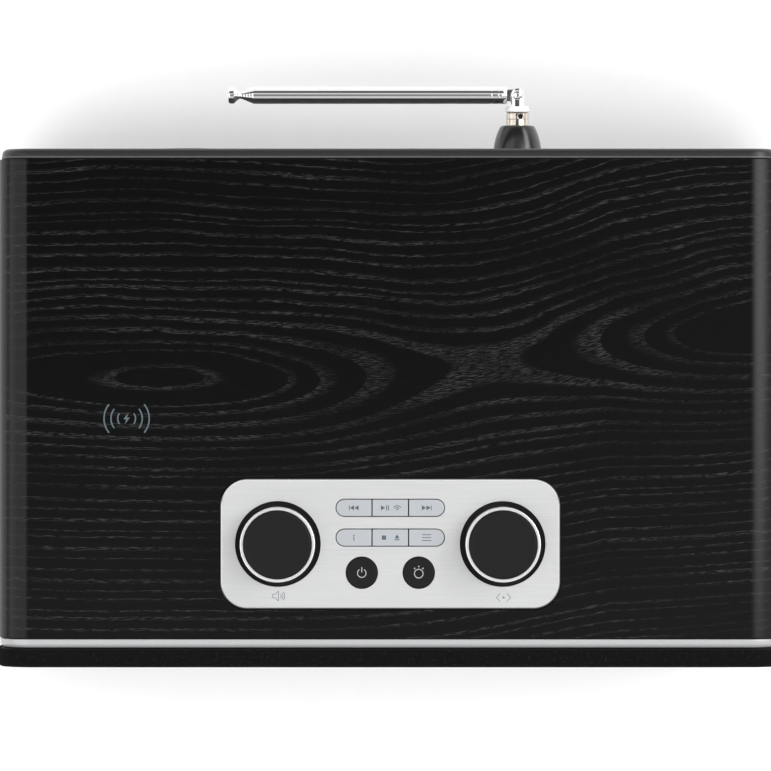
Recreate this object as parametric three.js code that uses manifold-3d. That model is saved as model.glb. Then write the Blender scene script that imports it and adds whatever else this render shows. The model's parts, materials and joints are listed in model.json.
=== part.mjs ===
// A tabletop radio with a disc player: wooden cabinet, cloth grille, top control plate, folding antenna.
// Millimetres, +Z up, +X to the listener's right, -Y towards the listener, feet on z = 0.

import * as THREE from 'three';
import { mergeVertices } from 'three/addons/utils/BufferGeometryUtils.js';
import Module from 'manifold-3d';

const wasm = await Module();
wasm.setup();

// ---- driving dimensions ----

const GAP = 0.3; // clearance kept between pieces that touch

// cabinet: a wooden tube that is open at the front and at the rear
const CABINET_WIDTH = 363;
const CABINET_HEIGHT = 135;
const CABINET_FRONT = -106;
const CABINET_REAR = 114.6;
const CABINET_RADIUS = 16;
const WALL = 10;
const FOOT_HEIGHT = 5;
const FOOT_RADIUS = 12;
const FOOT_X = 145;
const FOOT_FRONT_Y = -85;
const FOOT_REAR_Y = 92;

// front: trim ring, grille frame, cloth, gloss fascia
const TRIM_FRONT = -110.45;
const TRIM_INSET = 1.3;
const GRILLE_REAR = -110.9;
const CLOTH_FRONT = -119.5;
const CLOTH_SKIN = 1.7;
const CLOTH_OVERHANG = 0.5;
const FASCIA_WIDTH = 146.4;
const FASCIA_HEIGHT = 84.4;
const FASCIA_RADIUS = 5.7;
const FASCIA_Z = 75;
const FASCIA_FRONT = -119.2;
const WINDOW_THICKNESS = 2;
const DISPLAY_WIDTH = 90;
const DISPLAY_HEIGHT = 50;
const DISPLAY_Z = 84;
const BAFFLE_FRONT = -103.7;
const BAFFLE_THICKNESS = 10;

// disc drive
const SLOT_WIDTH = 124;
const SLOT_HEIGHT = 6.6;
const SLOT_Z = 46;
const DRIVE_WIDTH = 136;
const DRIVE_LENGTH = 130;
const DRIVE_FLOOR_Z = 20;
const DRIVE_RAIL = 5;
const DRIVE_COVER = 3;
const SPINDLE_RADIUS = 14;
const SPINDLE_Y = -30;

// loudspeakers
const SPEAKER_X = 126;
const SPEAKER_FLANGE_RADIUS = 39;
const SPEAKER_HOLE_RADIUS = 33;
const SPEAKER_DEPTH = 42;

// rear panel and what is on it
const PANEL_THICKNESS = 4.6;
const PANEL_INSET = 1.6;
const PORT_X = -95;
const PORT_RADIUS = 18;
const PORT_WALL = 2.5;
const PORT_LENGTH = 60;
const INLET_X = 60;
const JACK_X = 25;
const SOCKET_Z = 35;
const SCREW_X = 174.1;
const SCREW_RISE = 42.5; // above and below the cabinet's middle
const SCREW_RADIUS = 1.6;
const SCREW_HEAD_RADIUS = 2.8;
const SCREW_POCKET = 2; // depth of the pocket in the rear panel that hides the head

// control plate on top
const PLATE_WIDTH = 156.5;
const PLATE_DEPTH = 60;
const PLATE_RADIUS = 12.5;
const PLATE_Y = -62.6;
const PLATE_TOP = 0.9; // above the cabinet's top
const PLATE_THICKNESS = 1.7;
const KNOB_X = 51.7;
const WELL_RADIUS = 19.7;
const ROW_WIDTH = 49.6;
const ROW_HEIGHT = 7.6;
const ROW_SPLIT = 8.4; // from the middle to each divider
const ROW_OFFSETS = [16.65, 2.95];
const ROUND_BUTTON_RADIUS = 7.1;
const ROUND_BUTTON_X = 13.1;
const ROUND_BUTTON_OFFSET = -13.2;
const BUTTON_CLEARANCE = 0.35;
const BUTTON_PROUD = 0.4;

// knobs
const KNOB_HEIGHT = 12.9; // above the plate
const KNOB_SINK = 3.3; // below the plate's top, inside the well
const KNOB_CAP_RADIUS = 15.45;
const KNOB_RING_RADIUS = 17.2;
const SHAFT_RADIUS = 3;

// wireless charging spot
const CHARGER_X = -121.3;
const CHARGER_Y = -4.9;
const COIL_RADIUS = 22;

// telescopic antenna, folded to the left behind the rear panel
const ANTENNA_X = 59.4;
const ANTENNA_Z = 105;
const BOSS_RADIUS = 11.2;
const BOSS_END_RADIUS = 8.2;
const BOSS_LENGTH = 11.7;
const BARREL_RADIUS = 5.25;
const BARREL_LENGTH = 5.7;
const WASHER_RADIUS = 5.6;
const WASHER_LENGTH = 2.6;
const PIVOT_OFFSET = 5.3; // from the washer to the pivot
const KNUCKLE_WIDTH = 6.2;
const KNUCKLE_HEIGHT = 7.4;
const TONGUE_THICKNESS = 2;
const PIVOT_RADIUS = 1.5;
const PIVOT_HEAD_RADIUS = 2.25;
const ROD_START = 4.9; // from the pivot to the outer tube
const OUTER_TUBE_END = 124;
const SECTION_STEP = 1.3;
const SECTION_RADII = [3.9, 3.35, 2.8, 2.25, 1.7, 1.15];
const SECTION_WALL = 0.3;
const TIP_RADIUS = 3.75;
const TIP_END = 135;

// ---- worked-out levels ----

const CABINET_TOP = FOOT_HEIGHT + CABINET_HEIGHT;
const MIDDLE_Z = FOOT_HEIGHT + CABINET_HEIGHT / 2;
const CEILING = CABINET_TOP - WALL;
const PLATE_UPPER = CABINET_TOP + PLATE_TOP;
const PLATE_LOWER = PLATE_UPPER - PLATE_THICKNESS;
const DECK_TOP = PLATE_LOWER - GAP;
const DECK_THICKNESS = 3.4;
const DECK_BOTTOM = DECK_TOP - DECK_THICKNESS;
const BOARD_TOP = CEILING - 5.4;
const BOARD_THICKNESS = 1.6;
const PANEL_FRONT = CABINET_REAR + GAP;
const PANEL_REAR = PANEL_FRONT + PANEL_THICKNESS;
const BOSS_REAR = PANEL_REAR + GAP + BOSS_LENGTH;
const BARREL_REAR = BOSS_REAR + GAP + BARREL_LENGTH;
const WASHER_REAR = BARREL_REAR + GAP + WASHER_LENGTH;
const PIVOT_Y = WASHER_REAR + PIVOT_OFFSET;
const ROD_REAR = PIVOT_Y + SECTION_RADII[0];
const BAFFLE_REAR = BAFFLE_FRONT + BAFFLE_THICKNESS;

// ---- outlines ----

function roundedOutline(width, height, radius, x = 0, y = 0) {
  const across = width / 2 - radius;
  const up = height / 2 - radius;
  const outline = new THREE.Shape();
  outline.absarc(x + across, y + up, radius, 0, Math.PI / 2);
  outline.absarc(x - across, y + up, radius, Math.PI / 2, Math.PI);
  outline.absarc(x - across, y - up, radius, Math.PI, 1.5 * Math.PI);
  outline.absarc(x + across, y - up, radius, 1.5 * Math.PI, 2 * Math.PI);
  outline.closePath();
  return outline;
}

function capsuleOutline(width, height, x = 0, y = 0) {
  const across = (width - height) / 2;
  const outline = new THREE.Shape();
  halfTurn(outline, x + across, y, height / 2, -Math.PI / 2);
  halfTurn(outline, x - across, y, height / 2, Math.PI / 2);
  outline.closePath();
  return outline;
}

function circleOutline(radius, x = 0, y = 0) {
  const outline = new THREE.Shape();
  halfTurn(outline, x, y, radius, 0);
  halfTurn(outline, x, y, radius, Math.PI);
  return outline;
}

// Every round stretch is drawn in quarter turns, so that all of them get the same fineness.
function halfTurn(outline, x, y, radius, start) {
  outline.absarc(x, y, radius, start, start + Math.PI / 2);
  outline.absarc(x, y, radius, start + Math.PI / 2, start + Math.PI);
}

// ---- solids ----

const CURVE_FINENESS = 3; // an arc gets twice as many edges

function upright(outline, low, high) {
  const settings = { depth: high - low, bevelEnabled: false, curveSegments: CURVE_FINENESS };
  return new THREE.ExtrudeGeometry(outline, settings).translate(0, 0, low);
}

// An outline drawn in X and Z, as seen from the front, extruded from y = front to y = rear.
function throughDepth(outline, front, rear) {
  const settings = { depth: rear - front, bevelEnabled: false, curveSegments: CURVE_FINENESS };
  return new THREE.ExtrudeGeometry(outline, settings).rotateX(Math.PI / 2).translate(0, rear, 0);
}

// A profile of [radius, height] points, anticlockwise with the axis on its left, turned about Z.
function turned(profile, segments = 32) {
  return turnedAboutY(profile, segments).rotateX(Math.PI / 2);
}

function turnedAboutY(profile, segments = 32) {
  const points = profile.map(([radius, height]) => new THREE.Vector2(radius, height));
  return new THREE.LatheGeometry(points, segments);
}

function ringProfile(inner, outer, low, high) {
  return [[inner, low], [outer, low], [outer, high], [inner, high], [inner, low]];
}

function rodProfile(radius, low, high) {
  return [[0, low], [radius, low], [radius, high], [0, high]];
}

function box(lows, highs) {
  const sizes = highs.map((high, i) => high - lows[i]);
  const middles = highs.map((high, i) => (high + lows[i]) / 2);
  return new THREE.BoxGeometry(...sizes).translate(...middles);
}

// ---- joining and cutting ----

function solidOf(geometry) {
  const bare = geometry.clone();
  bare.deleteAttribute('normal');
  bare.deleteAttribute('uv');
  const merged = mergeVertices(bare, 1e-4);
  const corners = merged.index.array;
  const kept = [];
  for (let i = 0; i < corners.length; i += 3) {
    const [a, b, c] = corners.slice(i, i + 3);
    if (a !== b && b !== c && a !== c) {
      kept.push(a, b, c);
    }
  }
  const vertProperties = new Float32Array(merged.attributes.position.array);
  const triVerts = new Uint32Array(kept);
  return new wasm.Manifold(new wasm.Mesh({ numProp: 3, vertProperties, triVerts }));
}

function geometryOf(solid) {
  const { vertProperties, triVerts } = solid.getMesh();
  const geometry = new THREE.BufferGeometry();
  geometry.setAttribute('position', new THREE.BufferAttribute(vertProperties, 3));
  geometry.setIndex(new THREE.BufferAttribute(triVerts, 1));
  geometry.computeVertexNormals();
  return geometry;
}

function joined(first, ...others) {
  return geometryOf(others.reduce((whole, other) => whole.add(solidOf(other)), solidOf(first)));
}

function cut(first, ...tools) {
  return geometryOf(tools.reduce((whole, tool) => whole.subtract(solidOf(tool)), solidOf(first)));
}

// ---- the assembly ----

const radio = new THREE.Group();
const controls = new THREE.Group();
const antenna = new THREE.Group();
radio.add(controls, antenna);

function finish(color, roughness, metalness = 0) {
  return new THREE.MeshStandardMaterial({ color, roughness, metalness });
}

const blackAsh = () => finish(0x1d1c1c, 0.5);
const darkPlastic = () => finish(0x343435, 0.5);
const mattBlack = () => finish(0x161616, 0.6);
const glossBlack = () => finish(0x08080a, 0.08);
const brushedAluminium = () => finish(0xd9dbdc, 0.35, 1);
const silverPaint = () => finish(0xcfd2d6, 0.35, 0.3);
const chrome = () => finish(0xe6e7e8, 0.06, 1);
const nickel = () => finish(0xcfc3b2, 0.2, 1);
const steel = () => finish(0x9a9c9e, 0.4, 1);
const circuitBoard = () => finish(0x14502f, 0.5);
const whitePlastic = () => finish(0xeeeeec, 0.4);

function add(name, geometry, material, group = radio) {
  const mesh = new THREE.Mesh(geometry, material);
  mesh.name = name;
  group.add(mesh);
}

// ---- cabinet ----

function screwPlaces() {
  const sides = [['left', -SCREW_X], ['right', SCREW_X]];
  const levels = [['lower', MIDDLE_Z - SCREW_RISE], ['upper', MIDDLE_Z + SCREW_RISE]];
  return levels.flatMap(([level, z]) => sides.map(([side, x]) => ({ name: `${level}_${side}`, x, z })));
}

function cabinetShell() {
  const outline = roundedOutline(CABINET_WIDTH, CABINET_HEIGHT, CABINET_RADIUS, 0, MIDDLE_Z);
  const width = CABINET_WIDTH - 2 * WALL;
  const height = CABINET_HEIGHT - 2 * WALL;
  outline.holes.push(roundedOutline(width, height, CABINET_RADIUS - WALL, 0, MIDDLE_Z));
  const tube = throughDepth(outline, CABINET_FRONT, CABINET_REAR);
  const hole = roundedOutline(PLATE_WIDTH + 0.9, PLATE_DEPTH + 0.9, PLATE_RADIUS + 0.45, 0, PLATE_Y);
  const controlHole = upright(hole, CEILING - 2, CABINET_TOP + 2);
  const screwHoles = screwPlaces().map(({ x, z }) => {
    const hole = circleOutline(SCREW_RADIUS + GAP, x, z);
    return throughDepth(hole, CABINET_REAR - 12, CABINET_REAR + 1);
  });
  return cut(tube, controlHole, ...screwHoles);
}

function foot() {
  const top = FOOT_HEIGHT - GAP;
  return turned([[0, 0], [FOOT_RADIUS - 1, 0], [FOOT_RADIUS, 1], [FOOT_RADIUS, top], [0, top]], 24);
}

add('cabinet_shell', cabinetShell(), blackAsh());
for (const [side, x] of [['left', -FOOT_X], ['right', FOOT_X]]) {
  add(`front_${side}_foot`, foot().translate(x, FOOT_FRONT_Y, 0), mattBlack());
  add(`rear_${side}_foot`, foot().translate(x, FOOT_REAR_Y, 0), mattBlack());
}

// ---- front ----

function trimRing() {
  const inset = 2 * TRIM_INSET;
  const radius = CABINET_RADIUS - TRIM_INSET;
  const outline = roundedOutline(CABINET_WIDTH - inset, CABINET_HEIGHT - inset, radius, 0, MIDDLE_Z);
  const inner = 2 * WALL - 1;
  const opening = CABINET_RADIUS - WALL + 0.5;
  outline.holes.push(roundedOutline(CABINET_WIDTH - inner, CABINET_HEIGHT - inner, opening, 0, MIDDLE_Z));
  return throughDepth(outline, TRIM_FRONT, CABINET_FRONT - GAP);
}

const CLOTH_WIDTH = CABINET_WIDTH + 2 * CLOTH_OVERHANG;
const CLOTH_HEIGHT = CABINET_HEIGHT + 2 * CLOTH_OVERHANG;
const CLOTH_RADIUS = CABINET_RADIUS + CLOTH_OVERHANG;
const CLOTH_SIDE = 1.3;

function fasciaHole(margin) {
  return roundedOutline(FASCIA_WIDTH + margin, FASCIA_HEIGHT + margin, FASCIA_RADIUS, 0, FASCIA_Z);
}

function grilleCloth() {
  const outline = roundedOutline(CLOTH_WIDTH, CLOTH_HEIGHT, CLOTH_RADIUS, 0, MIDDLE_Z);
  outline.holes.push(fasciaHole(2 * GAP));
  const side = 2 * CLOTH_SIDE;
  const radius = CLOTH_RADIUS - CLOTH_SIDE;
  const pocket = roundedOutline(CLOTH_WIDTH - side, CLOTH_HEIGHT - side, radius, 0, MIDDLE_Z);
  const front = CLOTH_FRONT + CLOTH_SKIN;
  return cut(
    throughDepth(outline, CLOTH_FRONT, GRILLE_REAR - GAP),
    throughDepth(pocket, front, GRILLE_REAR + 1),
  );
}

function grilleFrame() {
  const side = 2 * (CLOTH_SIDE + GAP);
  const radius = CLOTH_RADIUS - CLOTH_SIDE - GAP;
  const outline = roundedOutline(CLOTH_WIDTH - side, CLOTH_HEIGHT - side, radius, 0, MIDDLE_Z);
  outline.holes.push(fasciaHole(2 * GAP));
  outline.holes.push(circleOutline(SPEAKER_HOLE_RADIUS + 2, -SPEAKER_X, MIDDLE_Z));
  outline.holes.push(circleOutline(SPEAKER_HOLE_RADIUS + 2, SPEAKER_X, MIDDLE_Z));
  return throughDepth(outline, CLOTH_FRONT + CLOTH_SKIN + GAP, GRILLE_REAR);
}

function frontFascia() {
  const outline = roundedOutline(FASCIA_WIDTH, FASCIA_HEIGHT, FASCIA_RADIUS, 0, FASCIA_Z);
  const rear = BAFFLE_FRONT - GAP;
  const pocket = [DISPLAY_WIDTH / 2 + GAP, DISPLAY_HEIGHT / 2 + GAP];
  return cut(
    throughDepth(outline, FASCIA_FRONT, rear),
    throughDepth(roundedOutline(SLOT_WIDTH, SLOT_HEIGHT, 1, 0, SLOT_Z), FASCIA_FRONT - 1, rear + 1),
    box(
      [-pocket[0], FASCIA_FRONT + WINDOW_THICKNESS, DISPLAY_Z - pocket[1]],
      [pocket[0], rear + 1, DISPLAY_Z + pocket[1]],
    ),
  );
}

function displayModule() {
  const front = FASCIA_FRONT + WINDOW_THICKNESS + GAP;
  const low = DISPLAY_Z - DISPLAY_HEIGHT / 2;
  const high = DISPLAY_Z + DISPLAY_HEIGHT / 2;
  return joined(
    box([-DISPLAY_WIDTH / 2, front, low], [DISPLAY_WIDTH / 2, front + 5, high]),
    box([-DISPLAY_WIDTH / 2 + 3, front + 4.5, low + 3], [DISPLAY_WIDTH / 2 - 3, front + 8, high - 3]),
  );
}

function frontBaffle() {
  const inner = 2 * (WALL + GAP);
  const radius = CABINET_RADIUS - WALL - GAP;
  const outline = roundedOutline(CABINET_WIDTH - inner, CABINET_HEIGHT - inner, radius, 0, MIDDLE_Z);
  outline.holes.push(roundedOutline(FASCIA_WIDTH - 6, FASCIA_HEIGHT - 6, 4, 0, FASCIA_Z));
  outline.holes.push(circleOutline(SPEAKER_HOLE_RADIUS, -SPEAKER_X, MIDDLE_Z));
  outline.holes.push(circleOutline(SPEAKER_HOLE_RADIUS, SPEAKER_X, MIDDLE_Z));
  return throughDepth(outline, BAFFLE_FRONT, BAFFLE_REAR);
}

add('trim_ring', trimRing(), silverPaint());
add('grille_cloth', grilleCloth(), finish(0x161617, 0.95));
add('grille_frame', grilleFrame(), mattBlack());
add('front_fascia', frontFascia(), glossBlack());
add('display_module', displayModule(), glossBlack());
add('front_baffle', frontBaffle(), mattBlack());

// ---- disc drive: a chassis with side rails, a spindle hub in its floor, and a cover over the disc gap ----

const DRIVE_FRONT = BAFFLE_REAR + GAP;
const DISC_LOW = SLOT_Z - SLOT_HEIGHT / 2;
const DISC_HIGH = SLOT_Z + SLOT_HEIGHT / 2;
const DRIVE_REAR = DRIVE_FRONT + DRIVE_LENGTH;

function cdChassis() {
  const half = DRIVE_WIDTH / 2;
  const inner = half - DRIVE_RAIL;
  return cut(
    box([-half, DRIVE_FRONT, DRIVE_FLOOR_Z], [half, DRIVE_REAR, DISC_HIGH]),
    box([-inner, DRIVE_FRONT - 1, DISC_LOW], [inner, DRIVE_REAR - DRIVE_RAIL, DISC_HIGH + 1]),
    turned(rodProfile(SPINDLE_RADIUS + 1, DISC_LOW - 4, DISC_LOW + 1), 24).translate(0, SPINDLE_Y, 0),
    turned(rodProfile(3 + GAP, DISC_LOW - 14, DISC_LOW + 1), 12).translate(0, SPINDLE_Y, 0),
  );
}

function discSpindle() {
  const top = DISC_LOW - 0.5;
  const axle = [[0, top - 11], [3, top - 11], [3, top - 2]];
  const hub = [[SPINDLE_RADIUS, top - 2], [SPINDLE_RADIUS, top - 1], [7, top - 1], [7, top], [0, top]];
  return turned([...axle, ...hub], 24).translate(0, SPINDLE_Y, 0);
}

function cdCover() {
  const half = DRIVE_WIDTH / 2;
  const low = DISC_HIGH + GAP;
  return box([-half, DRIVE_FRONT, low], [half, DRIVE_REAR, low + DRIVE_COVER]);
}

add('cd_chassis', cdChassis(), mattBlack());
add('disc_spindle', discSpindle(), mattBlack());
add('cd_cover', cdCover(), steel());

// ---- loudspeakers ----

function speakerFrame(x) {
  const front = BAFFLE_REAR + GAP;
  const rear = front + SPEAKER_DEPTH;
  const magnet = rear - 15;
  const flange = SPEAKER_FLANGE_RADIUS;
  const basket = [[0, front + 20], [17, front + 20], [31, front + 2], [31, front], [flange, front]];
  const back = [[flange, front + 2], [33, front + 2], [20, magnet], [27, magnet], [27, rear], [0, rear]];
  return turnedAboutY([...basket, ...back], 24).translate(x, 0, MIDDLE_Z);
}

function speakerCone(x) {
  const front = BAFFLE_REAR + GAP + 1;
  const under = [[0, front + 17], [15, front + 17], [29.5, front]];
  const over = [[28, front - 0.8], [14, front + 14], [9, front + 11], [0, front + 9]];
  return turnedAboutY([...under, ...over].reverse(), 24).translate(x, 0, MIDDLE_Z);
}

for (const [side, x] of [['left', -SPEAKER_X], ['right', SPEAKER_X]]) {
  add(`${side}_speaker_frame`, speakerFrame(x), steel());
  add(`${side}_speaker_cone`, speakerCone(x), mattBlack());
}

// ---- rear panel ----

function rearPanel() {
  const inset = 2 * PANEL_INSET;
  const radius = CABINET_RADIUS - PANEL_INSET;
  const outline = roundedOutline(CABINET_WIDTH - inset, CABINET_HEIGHT - inset, radius, 0, MIDDLE_Z);
  outline.holes.push(circleOutline(PORT_RADIUS + PORT_WALL + GAP, PORT_X, MIDDLE_Z));
  outline.holes.push(roundedOutline(14.6, 11.6, 1, INLET_X, SOCKET_Z));
  outline.holes.push(circleOutline(5.3, JACK_X, SOCKET_Z));
  for (const { x, z } of screwPlaces()) {
    outline.holes.push(circleOutline(SCREW_RADIUS + GAP, x, z));
  }
  const pockets = screwPlaces().map(({ x, z }) => {
    const pocket = circleOutline(SCREW_HEAD_RADIUS + GAP, x, z);
    return throughDepth(pocket, PANEL_REAR - SCREW_POCKET, PANEL_REAR + 1);
  });
  return cut(throughDepth(outline, PANEL_FRONT, PANEL_REAR), ...pockets);
}

function bassPort() {
  const outer = PORT_RADIUS + PORT_WALL;
  const flange = PANEL_REAR + GAP;
  const rear = flange + 1.8;
  const outside = [[PORT_RADIUS, rear - PORT_LENGTH], [outer, rear - PORT_LENGTH], [outer, flange]];
  const rim = [[outer + 4, flange], [outer + 4, flange + 0.8], [outer + 2, rear], [outer, rear]];
  const throat = [[PORT_RADIUS, rear - 5], [PORT_RADIUS, rear - PORT_LENGTH]];
  return turnedAboutY([...outside, ...rim, ...throat], 32).translate(PORT_X, 0, MIDDLE_Z);
}

function powerInlet() {
  const deep = PANEL_REAR - 12;
  const body = throughDepth(roundedOutline(14, 11, 1, INLET_X, SOCKET_Z), deep, PANEL_REAR + 0.5);
  const bore = turnedAboutY(ringProfile(1, 2.8, deep + 3, PANEL_REAR + 1), 10);
  const above = turnedAboutY(rodProfile(2.8, PANEL_REAR - 0.8, PANEL_REAR + 1), 10);
  return cut(body, bore.translate(INLET_X, 0, SOCKET_Z), above.translate(INLET_X, 0, SOCKET_Z));
}

function headphoneJack() {
  const deep = PANEL_REAR - 13;
  const rear = PANEL_REAR + 0.5;
  const outside = [[0, deep], [5, deep], [5, rear], [1.85, rear], [1.85, deep + 1], [0, deep + 1]];
  return turnedAboutY(outside, 20).translate(JACK_X, 0, SOCKET_Z);
}

function rearScrew(x, z) {
  const head = PANEL_REAR - SCREW_POCKET + GAP;
  const shank = [[0, head - 11], [SCREW_RADIUS, head - 11], [SCREW_RADIUS, head]];
  const crown = [[SCREW_HEAD_RADIUS, head], [SCREW_HEAD_RADIUS - 0.7, head + 1.1], [0, head + 1.4]];
  return turnedAboutY([...shank, ...crown], 16).translate(x, 0, z);
}

add('rear_panel', rearPanel(), darkPlastic());
add('bass_port', bassPort(), mattBlack());
add('power_inlet', powerInlet(), mattBlack());
add('headphone_jack', headphoneJack(), mattBlack());
for (const { name, x, z } of screwPlaces()) {
  add(`${name}_screw`, rearScrew(x, z), steel());
}

// ---- main board: on the cabinet's floor, behind the disc drive ----

function mainBoard() {
  const floor = FOOT_HEIGHT + WALL + 5;
  const y = DRIVE_REAR + 6;
  return joined(
    box([-140, y, floor], [140, y + 60, floor + BOARD_THICKNESS]),
    box([-120, y + 8, floor + 1], [-60, y + 26, floor + 24]),
    box([-40, y + 20, floor + 1], [-16, y + 44, floor + 4]),
    turned(rodProfile(8, floor + 1, floor + 22), 16).translate(20, y + 20, 0),
    turned(rodProfile(8, floor + 1, floor + 22), 16).translate(42, y + 20, 0),
    box([80, y + 6, floor + 1], [120, y + 40, floor + 10]),
  );
}

add('main_board', mainBoard(), circuitBoard());

// ---- wireless charging ----

function chargingCoil() {
  const top = CEILING - GAP;
  return turned(ringProfile(10, COIL_RADIUS, top - 2, top), 32).translate(CHARGER_X, CHARGER_Y, 0);
}

function chargingShield() {
  const top = CEILING - 2 - 2 * GAP;
  const outline = roundedOutline(50, 50, 3, CHARGER_X, CHARGER_Y);
  return upright(outline, top - 1.2, top);
}

add('charging_coil', chargingCoil(), finish(0xb06a3a, 0.4, 0.8));
add('charging_shield', chargingShield(), mattBlack());

// ---- control plate: in its own group, centred on the plate ----

controls.position.y = PLATE_Y;

const BUTTON_ROWS = [
  ['previous_button', 'play_pause_button', 'next_button'],
  ['info_button', 'stop_eject_button', 'menu_button'],
];
const ROUND_BUTTONS = [['power_button', -ROUND_BUTTON_X], ['source_button', ROUND_BUTTON_X]];

function rowWindow(offset) {
  const margin = 2 * BUTTON_CLEARANCE;
  return capsuleOutline(ROW_WIDTH + margin, ROW_HEIGHT + margin, 0, offset);
}

function roundWindow(x) {
  return circleOutline(ROUND_BUTTON_RADIUS + BUTTON_CLEARANCE, x, ROUND_BUTTON_OFFSET);
}

function controlPlate() {
  const outline = roundedOutline(PLATE_WIDTH, PLATE_DEPTH, PLATE_RADIUS);
  outline.holes.push(circleOutline(WELL_RADIUS, -KNOB_X), circleOutline(WELL_RADIUS, KNOB_X));
  outline.holes.push(...ROW_OFFSETS.map(rowWindow));
  outline.holes.push(...ROUND_BUTTONS.map(([, x]) => roundWindow(x)));
  return upright(outline, PLATE_LOWER, PLATE_UPPER);
}

function panelTray() {
  const outer = roundedOutline(PLATE_WIDTH + GAP, PLATE_DEPTH + GAP, PLATE_RADIUS + GAP / 2);
  const flangeTop = CEILING - GAP;
  const flangeLow = flangeTop - 3.2;
  const body = joined(
    upright(outer, flangeLow, DECK_TOP),
    upright(roundedOutline(PLATE_WIDTH + 12, PLATE_DEPTH + GAP, 4), flangeLow, flangeTop),
  );
  const hollow = roundedOutline(PLATE_WIDTH - 4.5, PLATE_DEPTH - 4, PLATE_RADIUS - 2);
  const wells = [-KNOB_X, KNOB_X].flatMap((x) => [
    turned(rodProfile(WELL_RADIUS, DECK_TOP - 2.2, DECK_TOP + 1), 32).translate(x, 0, 0),
    turned(rodProfile(SHAFT_RADIUS + 1, DECK_BOTTOM - 1, DECK_TOP + 1), 16).translate(x, 0, 0),
  ]);
  const windows = [...ROW_OFFSETS.map(rowWindow), ...ROUND_BUTTONS.map(([, x]) => roundWindow(x))];
  const holes = windows.map((outline) => upright(outline, DECK_BOTTOM - 1, DECK_TOP + 1));
  return cut(body, upright(hollow, flangeLow - 1, DECK_BOTTOM), ...wells, ...holes);
}

const SWITCH_HEIGHT = 1.6;
const BUTTON_TRAVEL = 0.8;
const STEM_LOW = BOARD_TOP + SWITCH_HEIGHT + BUTTON_TRAVEL + 0.2;
const CAP_LOW = DECK_BOTTOM - 3.5;
const CAP_TOP = PLATE_UPPER + BUTTON_PROUD;

function segmentRange(place) {
  const end = ROW_WIDTH / 2;
  const outer = ROW_SPLIT + 0.25;
  const inner = ROW_SPLIT - 0.25;
  return [[-end, -outer], [-inner, inner], [outer, end]][place];
}

// A cap whose outer end is round for the first and last button of a row, on a skirt and a stem.
function rowButton(place, offset) {
  const [left, right] = segmentRange(place);
  const half = ROW_HEIGHT / 2;
  const outline = new THREE.Shape();
  if (place === 2) {
    outline.absarc(right - half, offset, half, -Math.PI / 2, Math.PI / 2);
  } else {
    outline.moveTo(right, offset - half);
    outline.lineTo(right, offset + half);
  }
  if (place === 0) {
    outline.absarc(left + half, offset, half, Math.PI / 2, 1.5 * Math.PI);
  } else {
    outline.lineTo(left, offset + half);
    outline.lineTo(left, offset - half);
  }
  outline.closePath();
  const middle = (left + right) / 2;
  const skirt = half + BUTTON_CLEARANCE + 0.8;
  return joined(
    upright(outline, CAP_LOW, CAP_TOP),
    box([middle - 6, offset - skirt, CAP_LOW], [middle + 6, offset + skirt, DECK_BOTTOM - GAP]),
    box([middle - 1.5, offset - 1.5, STEM_LOW], [middle + 1.5, offset + 1.5, CAP_LOW + 1]),
  );
}

function roundButton(x) {
  const skirt = ROUND_BUTTON_RADIUS + BUTTON_CLEARANCE + 0.8;
  const low = [[0, STEM_LOW], [1.5, STEM_LOW], [1.5, CAP_LOW], [skirt, CAP_LOW], [skirt, DECK_BOTTOM - GAP]];
  const edge = [[ROUND_BUTTON_RADIUS, DECK_BOTTOM - GAP], [ROUND_BUTTON_RADIUS, CAP_TOP], [0, CAP_TOP]];
  return turned([...low, ...edge], 32).translate(x, ROUND_BUTTON_OFFSET, 0);
}

function buttonMiddles() {
  const rows = ROW_OFFSETS.flatMap((offset) => [0, 1, 2].map((place) => {
    const [left, right] = segmentRange(place);
    return [(left + right) / 2, offset];
  }));
  return [...rows, ...ROUND_BUTTONS.map(([, x]) => [x, ROUND_BUTTON_OFFSET])];
}

function controlBoard() {
  const board = box([-74, -27, BOARD_TOP - BOARD_THICKNESS], [74, 27, BOARD_TOP]);
  const switches = buttonMiddles().map(([x, y]) => (
    box([x - 3, y - 3, BOARD_TOP - 0.5], [x + 3, y + 3, BOARD_TOP + SWITCH_HEIGHT])
  ));
  return joined(board, ...switches);
}

const ENCODER_TOP = BOARD_TOP + 6.3;
const SHAFT_LOW = BOARD_TOP + 3.4;
const PLUNGER_THICKNESS = 1.2;
const PLUNGER_TRAVEL = 0.6;

function encoder(x, boreFloor) {
  const body = box([x - 6.5, -6.5, BOARD_TOP + GAP], [x + 6.5, 6.5, ENCODER_TOP]);
  const bush = turned(rodProfile(4.5, ENCODER_TOP - 1, DECK_BOTTOM - GAP), 24).translate(x, 0, 0);
  const bore = turned(rodProfile(SHAFT_RADIUS + GAP, boreFloor, DECK_TOP), 24).translate(x, 0, 0);
  return cut(joined(body, bush), bore);
}

const KNOB_LOW = PLATE_UPPER - KNOB_SINK;
const KNOB_TOP = PLATE_UPPER + KNOB_HEIGHT;
const SHAFT_TOP = KNOB_LOW + 9;

function knobCap(x) {
  const bore = SHAFT_RADIUS + GAP;
  const low = KNOB_LOW + 0.4;
  const socket = [[0, SHAFT_TOP + GAP], [bore, SHAFT_TOP + GAP], [bore, low]];
  const side = [[KNOB_CAP_RADIUS, low], [KNOB_CAP_RADIUS, KNOB_TOP - 0.5]];
  const top = [[KNOB_CAP_RADIUS - 0.5, KNOB_TOP], [0, KNOB_TOP]];
  return turned([...socket, ...side, ...top], 36).translate(x, 0, 0);
}

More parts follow.
